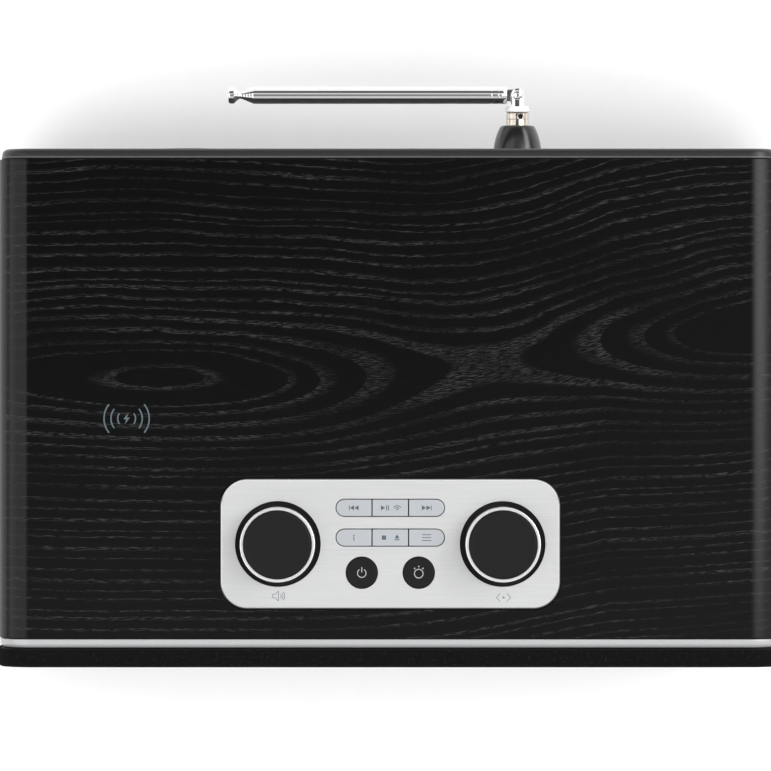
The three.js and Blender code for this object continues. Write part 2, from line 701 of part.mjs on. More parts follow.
function knobRing(x) {
  const inner = KNOB_CAP_RADIUS + GAP;
  const outer = KNOB_RING_RADIUS;
  const top = KNOB_TOP - 0.4;
  const outside = [[inner, KNOB_LOW], [outer, KNOB_LOW], [outer, top - 0.6], [outer - 0.6, top]];
  return turned([...outside, [inner, top], [inner, KNOB_LOW]], 36).translate(x, 0, 0);
}

function knobShaft(x) {
  return turned(rodProfile(SHAFT_RADIUS, SHAFT_LOW, SHAFT_TOP), 24).translate(x, 0, 0);
}

function tuningPlunger() {
  const top = SHAFT_LOW - GAP;
  return turned(rodProfile(SHAFT_RADIUS, top - PLUNGER_THICKNESS, top), 24).translate(KNOB_X, 0, 0);
}

add('control_plate', controlPlate(), brushedAluminium(), controls);
add('panel_tray', panelTray(), mattBlack(), controls);
add('control_board', controlBoard(), circuitBoard(), controls);
BUTTON_ROWS.forEach((names, row) => {
  names.forEach((name, place) => {
    add(name, rowButton(place, ROW_OFFSETS[row]), silverPaint(), controls);
  });
});
for (const [name, x] of ROUND_BUTTONS) {
  add(name, roundButton(x), mattBlack(), controls);
}
const plungerFloor = SHAFT_LOW - 2 * GAP - PLUNGER_THICKNESS - PLUNGER_TRAVEL;
add('volume_encoder', encoder(-KNOB_X, SHAFT_LOW - GAP), steel(), controls);
add('tuning_encoder', encoder(KNOB_X, plungerFloor), steel(), controls);
add('tuning_plunger', tuningPlunger(), whitePlastic(), controls);
for (const [name, x] of [['volume', -KNOB_X], ['tuning', KNOB_X]]) {
  add(`${name}_knob_cap`, knobCap(x), mattBlack(), controls);
  add(`${name}_knob_ring`, knobRing(x), chrome(), controls);
  add(`${name}_shaft`, knobShaft(x), steel(), controls);
}

// ---- antenna: in its own group, whose origin is the swivel axis at the pivot's depth ----

antenna.position.set(ANTENNA_X, PIVOT_Y, ANTENNA_Z);

function bossDome() {
  const near = PANEL_REAR + GAP - PIVOT_Y;
  const far = BOSS_REAR - PIVOT_Y;
  const profile = [[0, near], [BOSS_RADIUS - 0.4, near]];
  const steps = 6;
  for (let i = 0; i <= steps; i += 1) {
    const t = i / steps;
    const swell = Math.cos(t * Math.PI / 2);
    const radius = BOSS_END_RADIUS - 1.5 + (BOSS_RADIUS - BOSS_END_RADIUS + 1.5) * swell ** 0.7;
    profile.push([Math.max(radius, BOSS_END_RADIUS), near + 1.5 + t * (far - near - 1.5)]);
  }
  return turnedAboutY([...profile, [0, far]], 24);
}

function antennaKnuckle() {
  const half = KNUCKLE_WIDTH / 2;
  const low = WASHER_REAR + GAP - PIVOT_Y;
  const outline = new THREE.Shape();
  outline.moveTo(-half, low);
  outline.lineTo(half, low);
  outline.absarc(0, 0, half, 0, Math.PI);
  outline.closePath();
  const slot = TONGUE_THICKNESS / 2 + GAP;
  return cut(
    upright(outline, -KNUCKLE_HEIGHT / 2, KNUCKLE_HEIGHT / 2),
    box([-half - 1, -half - 0.4, -slot], [half + 1, half + 1, slot]),
    turned(rodProfile(PIVOT_RADIUS + GAP, -KNUCKLE_HEIGHT, KNUCKLE_HEIGHT), 16),
  );
}

function pivotScrew() {
  const seat = KNUCKLE_HEIGHT / 2 + GAP;
  const shank = [[0, -KNUCKLE_HEIGHT / 2], [PIVOT_RADIUS, -KNUCKLE_HEIGHT / 2], [PIVOT_RADIUS, seat]];
  const head = [[PIVOT_HEAD_RADIUS, seat], [PIVOT_HEAD_RADIUS, seat + 0.9], [0, seat + 1.4]];
  return turned([...shank, ...head], 16);
}

// A profile along the rod, turned about X, with distances counted from the pivot towards -X.
function alongRod(profile, segments = 16) {
  return turnedAboutY(profile, segments).rotateZ(Math.PI / 2);
}

function outerTube() {
  const radius = SECTION_RADII[0];
  const tongueRadius = KNUCKLE_WIDTH / 2 - 0.1;
  const tongue = new THREE.Shape();
  tongue.moveTo(0, tongueRadius);
  tongue.lineTo(-ROD_START - 2, tongueRadius);
  tongue.lineTo(-ROD_START - 2, -tongueRadius);
  tongue.absarc(0, 0, tongueRadius, -Math.PI / 2, Math.PI / 2);
  tongue.closePath();
  return cut(
    joined(
      alongRod(ringProfile(radius - SECTION_WALL, radius, ROD_START, OUTER_TUBE_END)),
      alongRod(rodProfile(radius - 0.1, ROD_START, ROD_START + 4)),
      upright(tongue, -TONGUE_THICKNESS / 2, TONGUE_THICKNESS / 2),
    ),
    turned(rodProfile(PIVOT_RADIUS + GAP, -TONGUE_THICKNESS, TONGUE_THICKNESS), 16),
  );
}

function innerTube(index) {
  const radius = SECTION_RADII[index];
  const start = ROD_START + 5 + index;
  return alongRod(ringProfile(radius - SECTION_WALL, radius, start, OUTER_TUBE_END + SECTION_STEP * index));
}

function tipRod(index) {
  const radius = SECTION_RADII[index];
  const start = ROD_START + 5 + index;
  const rod = [[0, start], [radius, start], [radius, TIP_END - 4]];
  const button = [[TIP_RADIUS, TIP_END - 2.4], [TIP_RADIUS, TIP_END - 0.6], [TIP_RADIUS - 0.6, TIP_END]];
  return alongRod([...rod, ...button, [0, TIP_END]]);
}

const barrelStart = BOSS_REAR + GAP - PIVOT_Y;
const washerStart = BARREL_REAR + GAP - PIVOT_Y;
const barrelProfile = rodProfile(BARREL_RADIUS, barrelStart, barrelStart + BARREL_LENGTH);
const washerProfile = rodProfile(WASHER_RADIUS, washerStart, washerStart + WASHER_LENGTH);
const tipIndex = SECTION_RADII.length - 1;

add('antenna_boss', bossDome(), mattBlack(), antenna);
add('antenna_barrel', turnedAboutY(barrelProfile, 24), nickel(), antenna);
add('antenna_washer', turnedAboutY(washerProfile, 24), whitePlastic(), antenna);
add('antenna_knuckle', antennaKnuckle(), chrome(), antenna);
add('antenna_pivot_screw', pivotScrew(), chrome(), antenna);
add('antenna_tube_1', outerTube(), chrome(), antenna);
for (let index = 1; index < tipIndex; index += 1) {
  add(`antenna_tube_${index + 1}`, innerTube(index), chrome(), antenna);
}
add('antenna_tip', tipRod(tipIndex), chrome(), antenna);

// The origin is under the middle of the whole radio's box, at the feet.
radio.position.y = -(CLOTH_FRONT + ROD_REAR) / 2;

export default radio;
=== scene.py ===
"""A tabletop radio in black ash with a brushed control plate, a cloth grille and a folding antenna.

Every piece is built round the fixed model of the radio, in metres, +Z up, with its front towards -Y.
"""

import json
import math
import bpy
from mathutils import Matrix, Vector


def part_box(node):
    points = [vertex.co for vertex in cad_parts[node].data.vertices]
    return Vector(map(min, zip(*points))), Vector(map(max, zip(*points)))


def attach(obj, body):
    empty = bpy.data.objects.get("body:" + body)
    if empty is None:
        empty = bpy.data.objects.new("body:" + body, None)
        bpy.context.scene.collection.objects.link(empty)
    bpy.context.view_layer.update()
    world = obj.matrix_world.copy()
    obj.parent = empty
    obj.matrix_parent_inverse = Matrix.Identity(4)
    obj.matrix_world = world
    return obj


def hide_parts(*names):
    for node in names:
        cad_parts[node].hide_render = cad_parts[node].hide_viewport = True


bl_info = {
    "name": "Tabletop Radio",
    "version": (1, 0, 0),
    "blender": (4, 5, 0),
    "location": "View3D > Sidebar > Radio",
    "description": "Builds the visible pieces and finishes of a tabletop radio",
    "category": "Add Mesh",
}

import bmesh
import bpy
from bpy.props import FloatProperty, FloatVectorProperty, IntProperty, PointerProperty
from mathutils import Matrix, Vector

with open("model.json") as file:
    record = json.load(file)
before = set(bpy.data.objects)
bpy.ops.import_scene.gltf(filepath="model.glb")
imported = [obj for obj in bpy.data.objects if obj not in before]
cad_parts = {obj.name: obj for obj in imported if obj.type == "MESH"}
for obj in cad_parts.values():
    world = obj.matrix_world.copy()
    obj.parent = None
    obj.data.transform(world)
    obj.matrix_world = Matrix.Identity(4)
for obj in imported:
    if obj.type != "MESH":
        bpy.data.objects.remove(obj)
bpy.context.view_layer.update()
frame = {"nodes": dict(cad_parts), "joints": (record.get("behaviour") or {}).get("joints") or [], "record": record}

MM = 0.001
BODY_OF = {node: body for body, nodes in frame["record"]["behaviour"]["bodies"].items() for node in nodes}
JOINTS = {joint["name"]: joint for joint in frame["joints"]}
MAIN_BODY = BODY_OF["cabinet_shell"]


# ---- settings that a user may change ----


def length(name, description, default):
    """A length in metres, given here in millimetres."""
    return FloatProperty(name=name, description=description, default=default * MM, min=0.0, unit="LENGTH")


def colour(name, description, default):
    return FloatVectorProperty(
        name=name, description=description, default=default, size=3, min=0.0, max=1.0, subtype="COLOR"
    )


class RadioCabinetSettings(bpy.types.PropertyGroup):
    """The wooden cabinet and its veneer."""

    corner: length("Corner radius", "Rounding of the cabinet's long edges", 16.0)
    wall: length("Wall", "Thickness of the wooden wall", 10.0)
    rear_round: length("Rear rounding", "Rounding of the rear panel's outer edge", 2.6)
    cut_clearance: length("Cut-out clearance", "Gap between the control plate and the wood", 0.4)
    ring_spacing: length("Ring spacing", "Distance between growth rings", 4.6)
    wood: colour("Wood", "Stained wood between the pores", (0.0018, 0.0018, 0.0019))
    pore: colour("Pores", "Open pores of the grain", (0.027, 0.0265, 0.027))


class RadioFrontSettings(bpy.types.PropertyGroup):
    """The trim ring, the cloth grille and the gloss fascia."""

    cloth_round: length("Cloth rounding", "Rounding of the cloth's front edge", 2.6)
    thread: length("Thread pitch", "Distance between the threads of the cloth", 0.5)
    cloth: colour("Cloth", "Speaker cloth", (0.003, 0.003, 0.0031))
    silver: colour("Silver", "Satin silver of the trim", (0.45, 0.453, 0.458))


class RadioControlSettings(bpy.types.PropertyGroup):
    """The control plate, its knobs and its buttons."""

    plate_corner: length("Plate corner", "Corner radius of the control plate", 12.5)
    plate_bevel: length("Plate bevel", "Width of the bright bevel round the plate", 0.8)
    well: length("Knob well", "Radius of the openings round the knobs", 19.7)
    aluminium: colour("Aluminium", "Brushed aluminium of the plate", (0.575, 0.577, 0.58))
    button: colour("Buttons", "Satin face of the long buttons", (0.41, 0.428, 0.45))
    ink: colour("Ink", "Marks on the silver buttons", (0.075, 0.10, 0.13))
    glow_ink: colour("Light ink", "Marks on the black buttons", (0.33, 0.335, 0.34))
    knob: colour("Knob", "Soft black of the knobs and round buttons", (0.0055, 0.0055, 0.0058))


class RadioAntennaSettings(bpy.types.PropertyGroup):
    """The telescopic antenna."""

    turns: IntProperty(name="Roundness", description="Sides of the turned pieces", default=64, min=16, max=128)
    groove: length("Groove", "Depth of the rolled grooves in the outer tube", 0.1)
    chrome: colour("Chrome", "Plating of the tubes", (0.90, 0.90, 0.89))
    nickel: colour("Nickel", "Warm plating of the barrel", (0.66, 0.60, 0.52))


class RadioStageSettings(bpy.types.PropertyGroup):
    """The camera, the floor and the light."""

    camera_height: length("Camera height", "Height of the camera over the cabinet's top", 2300.0)
    view_width: length("View width", "Width that the camera sees at the cabinet's top", 354.7)
    aim_x: FloatProperty(name="Aim X", description="Where the camera points", default=-2.19 * MM, unit="LENGTH")
    aim_y: FloatProperty(name="Aim Y", description="Where the camera points", default=-4.76 * MM, unit="LENGTH")
    sky: FloatProperty(name="Sky", description="Strength of the studio's even light", default=1.0, min=0.0)


SETTINGS = {
    "radio_cabinet": RadioCabinetSettings,
    "radio_front": RadioFrontSettings,
    "radio_controls": RadioControlSettings,
    "radio_antenna": RadioAntennaSettings,
    "radio_stage": RadioStageSettings,
}


def settings(name):
    return getattr(bpy.context.scene, name)


# ---- shader building ----


class Wire:
    """A shader value that Python arithmetic works on: each operation adds its Math node."""

    def __init__(self, finish, socket):
        self.finish = finish
        self.socket = socket

    def _math(self, operation, *values):
        return self.finish.node("ShaderNodeMath", {"operation": operation}, dict(enumerate(values)))

    def __add__(self, other):
        return self._math("ADD", self, other)

    __radd__ = __add__

    def __sub__(self, other):
        return self._math("SUBTRACT", self, other)

    def __rsub__(self, other):
        return self._math("SUBTRACT", other, self)

    def __mul__(self, other):
        return self._math("MULTIPLY", self, other)

    __rmul__ = __mul__

    def __truediv__(self, other):
        return self._math("DIVIDE", self, other)

    def sine(self):
        return self._math("SINE", self)

    def root(self):
        return self._math("SQRT", self)

    def fraction(self):
        return self._math("FRACT", self)

    def most(self, other):
        return self._math("MAXIMUM", self, other)

    def angle_to(self, other):
        """The angle whose tangent is this over the other, in degrees."""
        return self._math("ARCTAN2", self, other) * (180 / math.pi)

    def between(self, low, high, soft):
        """1 between low and high, 0 outside, with soft edges."""
        return self.above(low - soft, low + soft) * (1.0 - self.above(high - soft, high + soft))

    def above(self, low, high):
        """0 below low, 1 above high, smooth between them."""
        return self.finish.node(
            "ShaderNodeMapRange",
            {"interpolation_type": "SMOOTHSTEP"},
            {"Value": self, "From Min": low, "From Max": high},
        )


class Finish:
    """Builds one material, or the world, node by node."""

    def __init__(self, name, world=False):
        self.material = (bpy.data.worlds if world else bpy.data.materials).new(name)
        self.material.use_nodes = True
        self.tree = self.material.node_tree
        self.tree.nodes.clear()

    def node(self, kind, choices=None, values=None, output=0):
        """One node: its choices are set first, then its sockets' values or links."""
        made = self.tree.nodes.new(kind)
        for key, value in (choices or {}).items():
            if key == "stops":
                self._set_stops(made.color_ramp, value)
            else:
                setattr(made, key, value)
        for key, value in (values or {}).items():
            if isinstance(value, Wire):
                self.tree.links.new(value.socket, made.inputs[key])
            else:
                made.inputs[key].default_value = value
        return Wire(self, made.outputs[output]) if made.outputs else None

    @staticmethod
    def _set_stops(ramp, stops):
        ramp.interpolation = "B_SPLINE"
        while len(ramp.elements) < len(stops):
            ramp.elements.new(0.5)
        for element, (place, level) in zip(ramp.elements, stops):
            element.position = place
            element.color = (level, level, level, 1.0)

    def place(self, scale=1.0, uv=None):
        """Object coordinates, or the piece's own UV map, scaled by one number or by one for each axis."""
        if isinstance(scale, float):
            scale = (scale,) * 3
        if uv:
            source = self.node("ShaderNodeUVMap", {"uv_map": uv})
        else:
            source = self.node("ShaderNodeTexCoord", output="Object")
        return self.node("ShaderNodeMapping", None, {"Vector": source, "Scale": scale})

    def split(self, vector):
        parts = self.node("ShaderNodeSeparateXYZ", None, {"Vector": vector})
        outputs = parts.socket.node.outputs
        return [Wire(self, output) for output in outputs]

    def join(self, x, y, z=0.0):
        return self.node("ShaderNodeCombineXYZ", None, {"X": x, "Y": y, "Z": z})

    def noise(self, vector, detail=2.0, roughness=0.5):
        values = {"Vector": vector, "Scale": 1.0, "Detail": detail, "Roughness": roughness}
        return self.node("ShaderNodeTexNoise", None, values)

    def curve(self, value, stops):
        """A smooth curve near these (place, level) stops."""
        return self.node("ShaderNodeValToRGB", {"stops": stops}, {"Fac": value})

    def mix(self, first, second, share):
        """A colour between two colours."""
        values = {0: share, 6: self._colour(first), 7: self._colour(second)}
        return self.node("ShaderNodeMix", {"data_type": "RGBA"}, values, output=2)

    @staticmethod
    def _colour(value):
        return value if isinstance(value, Wire) else (*value, 1.0)

    def bump(self, height, strength=0.3, distance=0.0001):
        return self.node("ShaderNodeBump", None, {"Height": height, "Strength": strength, "Distance": distance})

    def done(self, values):
        """Ends the material in a Principled surface with these sockets."""
        sockets = {key: self._colour(v) if key == "Base Color" else v for key, v in values.items()}
        surface = self.node("ShaderNodeBsdfPrincipled", None, sockets)
        self.node("ShaderNodeOutputMaterial", None, {"Surface": surface})
        return self.material


def black_ash(name):
    """Black stained ash: nested growth rings, and open pores as short pale dashes along the grain."""
    wood = settings("radio_cabinet")
    made = Finish(name)
    u, v, _ = made.split(made.place((1 / MM, 1 / MM, 1.0), uv="veneer"))
    drift = made.noise(made.join(u * 0.009, v * 0.016), detail=3.0) - 0.5
    along = u * 0.002 + 0.5
    centre = made.curve(along, [
        (0.0, 0.42), (0.29, 0.44), (0.45, 0.39), (0.58, 0.45), (0.70, 0.70), (1.0, 0.95)])
    depth = made.curve(along, [
        (0.0, 0.5), (0.15, 0.42), (0.29, 0.02), (0.44, 0.5), (0.58, 0.95), (0.69, 0.66), (0.79, 0.27), (0.93, 0.08)])
    across = v - (centre - 0.44) * 60.0 + drift * 9.0
    deep = depth * 32.0 + 4.0
    ring = (across * across + deep * deep).root() + drift * 5.0
    uneven = made.noise(made.join(ring * 0.11, 0.0, 5.0), detail=2.0) * 11.0
    phase = ((ring - 2.4 + uneven) / (wood.ring_spacing / MM)).fraction()
    early = phase.above(0.0, 0.05) * (1.0 - phase.above(0.12, 0.42))
    dash = made.noise(made.join(u * 0.2, across * 2.6), detail=4.0, roughness=0.62)
    fine = made.noise(made.join(u * 0.34, across * 4.6, 7.0), detail=2.0, roughness=0.5)
    patch = made.noise(made.join(u * 0.012, v * 0.03, 3.0), detail=2.0)
    open_pores = dash.above(0.51, 0.56) * early * (0.22 + patch.above(0.36, 0.6) * 0.78)
    fine_pores = fine.above(0.57, 0.66) * (early * 0.8 + 0.06)
    pores = open_pores.most(fine_pores * 0.6)
    fibre = made.noise(made.join(u * 0.05, across * 3.4, 11.0), detail=4.0, roughness=0.6)
    tone = made.mix(wood.wood, [c * 2.0 for c in wood.wood], fibre.above(0.35, 0.75))
    colour_out = made.mix(tone, wood.pore, pores * (0.5 + fibre * 0.7))
    height = fibre * 0.25 - pores * 0.8
    return made.done({
        "Base Color": colour_out,
        "Roughness": 0.15 + pores * 0.2 - fibre * 0.03,
        "Specular IOR Level": 0.26,
        "Normal": made.bump(height, 0.16, 0.06 * MM),
    })


def bare_board(name):
    """The cut edge and the inside of the cabinet wall: plain dark fibreboard."""
    made = Finish(name)
    speckle = made.noise(made.place(900.0), detail=3.0)
    return made.done({
        "Base Color": made.mix((0.012, 0.011, 0.01), (0.03, 0.027, 0.024), speckle.above(0.4, 0.7)),
        "Roughness": 0.85,
        "Normal": made.bump(speckle, 0.4, 0.1 * MM),
    })


def moulded(name, base, roughness, grain_scale, grain_depth, specular=0.5, lift=1.35):
    """A moulded surface with a fine spark-eroded grain and faint tone changes."""
    made = Finish(name)
    grain = made.noise(made.place(grain_scale), detail=3.0, roughness=0.6)
    cloud = made.noise(made.place(28.0), detail=2.0)
    return made.done({
        "Base Color": made.mix(base, [min(1.0, c * lift) for c in base], grain.above(0.35, 0.7)),
        "Roughness": roughness + (cloud - 0.5) * 0.12 + (grain - 0.5) * 0.08,
        "Specular IOR Level": specular,
        "Normal": made.bump(grain, 0.5, grain_depth * MM),
    })


def boss_gloss(name):
    """Smooth moulded black with a soft gloss."""
    made = Finish(name)
    cloud = made.noise(made.place(60.0), detail=3.0)
    speck = made.noise(made.place(2600.0), detail=2.0)
    return made.done({
        "Base Color": made.mix((0.009, 0.009, 0.01), (0.014, 0.014, 0.015), speck.above(0.4, 0.7)),
        "Roughness": 0.24 + (cloud - 0.5) * 0.08,
        "Coat Weight": 0.25,
        "Coat Roughness": 0.16,
        "Normal": made.bump(speck, 0.2, 0.006 * MM),
    })


def gloss_black(name):
    """Polished black moulding with a hard clear coat and the faintest wave."""
    made = Finish(name)
    wave = made.noise(made.place(16.0), detail=1.0)
    dust = made.noise(made.place(2600.0), detail=1.0)
    return made.done({
        "Base Color": made.mix((0.0035, 0.0035, 0.004), (0.006, 0.006, 0.0065), dust.above(0.6, 0.8)),
        "Roughness": 0.07 + dust.above(0.66, 0.8) * 0.1,
        "Coat Weight": 0.6,
        "Coat Roughness": 0.03,
        "Normal": made.bump(wave, 0.05, 0.4 * MM),
    })


def display_glass(name):
    """The display window: smoked, a little bluer than the fascia round it."""
    made = Finish(name)
    haze = made.noise(made.place(40.0), detail=2.0)
    return made.done({
        "Base Color": made.mix((0.004, 0.005, 0.008), (0.008, 0.01, 0.014), haze),
        "Roughness": 0.04 + haze * 0.03,
        "Coat Weight": 1.0,
        "Coat Roughness": 0.02,
    })


def speaker_cloth(name):
    """Plain woven speaker cloth: over-and-under threads with fuzz."""
    front = settings("radio_front")
    made = Finish(name)
    turns = math.tau / front.thread
    warp, weft, _ = made.split(made.place(uv="weave"))
    wobble = made.noise(made.place((260.0, 260.0, 1.0), uv="weave"), detail=3.0) * 5.0
    over = (warp * turns + wobble).sine()
    under = (weft * turns + wobble).sine()
    weave = over * under * 0.5 + 0.5
    fuzz = made.noise(made.place((1500.0, 1500.0, 1.0), uv="weave"), detail=4.0, roughness=0.7)
    lint = made.noise(made.place((620.0, 760.0, 1.0), uv="weave"), detail=6.0, roughness=0.8)
    thread = made.mix(front.cloth, [c * 2.2 for c in front.cloth], weave * 0.4 + fuzz.above(0.45, 0.7) * 0.6)
    base = made.mix(thread, (0.038, 0.038, 0.039), lint.above(0.55, 0.68) * 0.7)
    return made.done({
        "Base Color": base,
        "Roughness": 0.95,
        "Specular IOR Level": 0.08,
        "Normal": made.bump(weave * 0.5 + fuzz * 0.6 + lint, 0.9, 0.22 * MM),
    })


def metal(name, base, roughness, scale, streaks, depth, metallic=1.0):
    """Plated or brushed metal: streaks run along the axis whose scale is small."""
    made = Finish(name)
    streak = made.noise(made.place(scale), detail=4.0, roughness=0.65)
    smear = made.noise(made.place(22.0), detail=3.0)
    dim = [c * (1.0 - streaks) for c in base]
    return made.done({
        "Base Color": made.mix(dim, base, streak.above(0.3, 0.62)),
        "Metallic": metallic,
        "Roughness": roughness + (streak - 0.5) * streaks * 0.9 + (smear - 0.5) * 0.04,
        "Normal": made.bump(streak, 0.4, depth * MM),
    })


def screw_black(name):
    """Black zinc plating with worn, brighter spots."""
    made = Finish(name)
    wear = made.noise(made.place(1400.0), detail=3.0)
    return made.done({
        "Base Color": made.mix((0.02, 0.02, 0.021), (0.12, 0.12, 0.12), wear.above(0.56, 0.8)),
        "Metallic": 0.9,
        "Roughness": 0.38 + wear * 0.12,
        "Normal": made.bump(wear, 0.3, 0.01 * MM),
    })


def satin_paint(name, base, roughness):
    """Satin metallic paint: fine flakes that change the tone and the gloss."""
    made = Finish(name)
    flake = made.noise(made.place(5200.0), detail=2.0)
    cloud = made.noise(made.place(30.0), detail=2.0)
    return made.done({
        "Base Color": made.mix([c * 0.93 for c in base], base, flake),
        "Metallic": 0.35,
        "Roughness": roughness + (flake - 0.5) * 0.08 + (cloud - 0.5) * 0.05,
        "Coat Weight": 0.15,
        "Coat Roughness": 0.2,
        "Normal": made.bump(flake, 0.25, 0.004 * MM),
    })


def ink(name, base):
    """Screen-printed ink with slightly uneven cover."""
    made = Finish(name)
    cover = made.noise(made.place(2400.0), detail=2.0)
    return made.done({
        "Base Color": made.mix([c * 0.85 for c in base], base, cover.above(0.3, 0.6)),
        "Roughness": 0.6 + (cover - 0.5) * 0.1,
        "Specular IOR Level": 0.3,
    })


def felt(name):
    """The dust lips of the disc slot."""
    made = Finish(name)
    fibre = made.noise(made.place((1800.0, 1800.0, 2600.0)), detail=5.0, roughness=0.8)
    return made.done({
        "Base Color": made.mix((0.004, 0.004, 0.004), (0.025, 0.025, 0.026), fibre.above(0.45, 0.75)),
        "Roughness": 1.0,
        "Specular IOR Level": 0.1,
        "Normal": made.bump(fibre, 1.0, 0.3 * MM),
    })


# A base colour is given as it is, or as the setting that holds it.
RECIPES = {
    "black_ash": (black_ash,),
    "bare_board": (bare_board,),
    "boss_gloss": (boss_gloss,),
    "gloss_black": (gloss_black,),
    "display_glass": (display_glass,),
    "speaker_cloth": (speaker_cloth,),
    "screw_black": (screw_black,),
    "felt": (felt,),
    # base, roughness, grain scale, grain depth, specular, lift
    "dark_plastic": (moulded, (0.0095, 0.0095, 0.01), 0.36, 1500.0, 0.03),
    # lighter grey for the rear panel's lip: a painted highlight line beside the wood, a lit copy of the dark panel
    # plastic
    "lip_plastic": (moulded, (0.055, 0.055, 0.057), 0.4, 1500.0, 0.02),
    "matt_black": (moulded, (0.0075, 0.0075, 0.008), 0.6, 1700.0, 0.04, 0.3),
    "knob_black": (moulded, "radio_controls.knob", 0.44, 4200.0, 0.012, 0.2, 1.2),
    "foot_rubber": (moulded, (0.012, 0.012, 0.012), 0.85, 1100.0, 0.06, 0.25),
    "white_plastic": (moulded, (0.80, 0.80, 0.78), 0.42, 1300.0, 0.015, 0.5, 1.05),
    "circuit_board": (moulded, (0.008, 0.07, 0.028), 0.4, 700.0, 0.03, 0.5, 2.2),
    "paper_cone": (moulded, (0.012, 0.012, 0.013), 0.9, 1400.0, 0.12, 0.2, 2.0),
    # base, roughness, streak scale on each axis, share of streaks, streak depth, metallic
    "brushed_aluminium": (metal, "radio_controls.aluminium", 0.46, (30.0, 5200.0, 300.0), 0.1, 0.005, 0.55),
    "bright_cut": (metal, (0.92, 0.93, 0.94), 0.12, 600.0, 0.04, 0.002),
    "chrome": (metal, "radio_antenna.chrome", 0.045, (60.0, 900.0, 900.0), 0.03, 0.0006),
    "ring_chrome": (metal, (0.88, 0.885, 0.89), 0.26, (500.0, 500.0, 2400.0), 0.05, 0.002, 0.7),
    "nickel": (metal, "radio_antenna.nickel", 0.1, (700.0, 2600.0, 700.0), 0.1, 0.002),
    "steel": (metal, (0.42, 0.43, 0.44), 0.36, 900.0, 0.2, 0.01),
    "copper": (metal, (0.55, 0.26, 0.12), 0.3, (1500.0, 1500.0, 100.0), 0.35, 0.05),
    # base, roughness
    "silver_trim": (satin_paint, "radio_front.silver", 0.34),
    "button_silver": (satin_paint, "radio_controls.button", 0.4),
    # base
    "slate_ink": (ink, "radio_controls.ink"),
    "light_ink": (ink, "radio_controls.glow_ink"),
    "charge_ink": (ink, (0.085, 0.115, 0.13)),
    "plate_ink": (ink, (0.16, 0.17, 0.19)),
}
FINISHES = {}


def finish(name):
    """A material by name, made the first time it is asked for."""
    if name not in FINISHES:
        maker, *recipe = RECIPES[name]
        if recipe and isinstance(recipe[0], str):
            group, key = recipe[0].split(".")
            recipe[0] = tuple(getattr(settings(group), key))
        FINISHES[name] = maker(name, *recipe)
    return FINISHES[name]


# ---- outlines: lists of (x, y) points, anticlockwise ----


def arc(x, y, radius, start, end, steps):
    angles = [start + (end - start) * i / steps for i in range(steps + 1)]
    return [(x + radius * math.cos(a), y + radius * math.sin(a)) for a in angles]


def circle(x, y, radius, steps=48):
    return arc(x, y, radius, 0.0, math.tau, steps)[:-1]


def rounded(low_x, low_y, high_x, high_y, radius, steps=12):
    """A rectangle with round corners."""
    quarter = math.pi / 2
    corners = [
        (high_x - radius, high_y - radius),
        (low_x + radius, high_y - radius),
        (low_x + radius, low_y + radius),
        (high_x - radius, low_y + radius),
    ]
    return [
        point
        for i, (x, y) in enumerate(corners)
        for point in arc(x, y, radius, i * quarter, (i + 1) * quarter, steps)
    ]


def rim(low, high, inset, radius, steps=12):
    """The rounded outline of a box seen from the front, drawn in by the inset."""
    return rounded(low.x + inset, low.z + inset, high.x - inset, high.z - inset, radius, steps)


def quarter_turn(steps=8):
    """Angles from 0 to 90 degrees."""
    return [math.pi / 2 * i / steps for i in range(steps + 1)]


def bar(start, end, width):
    """A straight stroke with square ends."""
    along = (Vector(end) - Vector(start)).normalized() * (width / 2)
    side = Vector((-along.y, along.x))
    a, b = Vector(start), Vector(end)
    return [tuple(p) for p in (a - side, b - side, b + side, a + side)]


def arc_band(x, y, radius, width, start, end, steps=16):
    """A bent stroke of even width."""
    outer = arc(x, y, radius + width / 2, start, end, steps)
    inner = arc(x, y, radius - width / 2, start, end, steps)
    return outer + inner[::-1]


# ---- meshes ----

CRISP_ANGLE = math.radians(35.0)
BEVEL_ANGLE = math.radians(40.0)
WELD = 1e-7


def placed(name, data):
    """A new object in the scene."""
    made = bpy.data.objects.new(name, data)
    bpy.context.scene.collection.objects.link(made)
    return made


def meshed(work, name):
    """The finished work as a named mesh."""
    mesh = bpy.data.meshes.new(name)
    work.to_mesh(mesh)
    work.free()
    return mesh


def tidy(mesh):
    """Merges doubles, turns faces outwards, keeps sharp edges crisp and evens out the shading of flat faces."""
    work = bmesh.new()
    work.from_mesh(mesh)
    bmesh.ops.remove_doubles(work, verts=work.verts, dist=WELD)
    bmesh.ops.dissolve_degenerate(work, edges=work.edges, dist=WELD)
    bmesh.ops.recalc_face_normals(work, faces=work.faces)
    work.to_mesh(mesh)
    work.free()
    mesh.shade_smooth()
    mesh.set_sharp_from_angle(angle=CRISP_ANGLE)
    even = bpy.data.objects.new("even", mesh)
    weigh = even.modifiers.new("weigh", "WEIGHTED_NORMAL")
    weigh.keep_sharp = True
    weigh.weight = 100
    return settled(even)


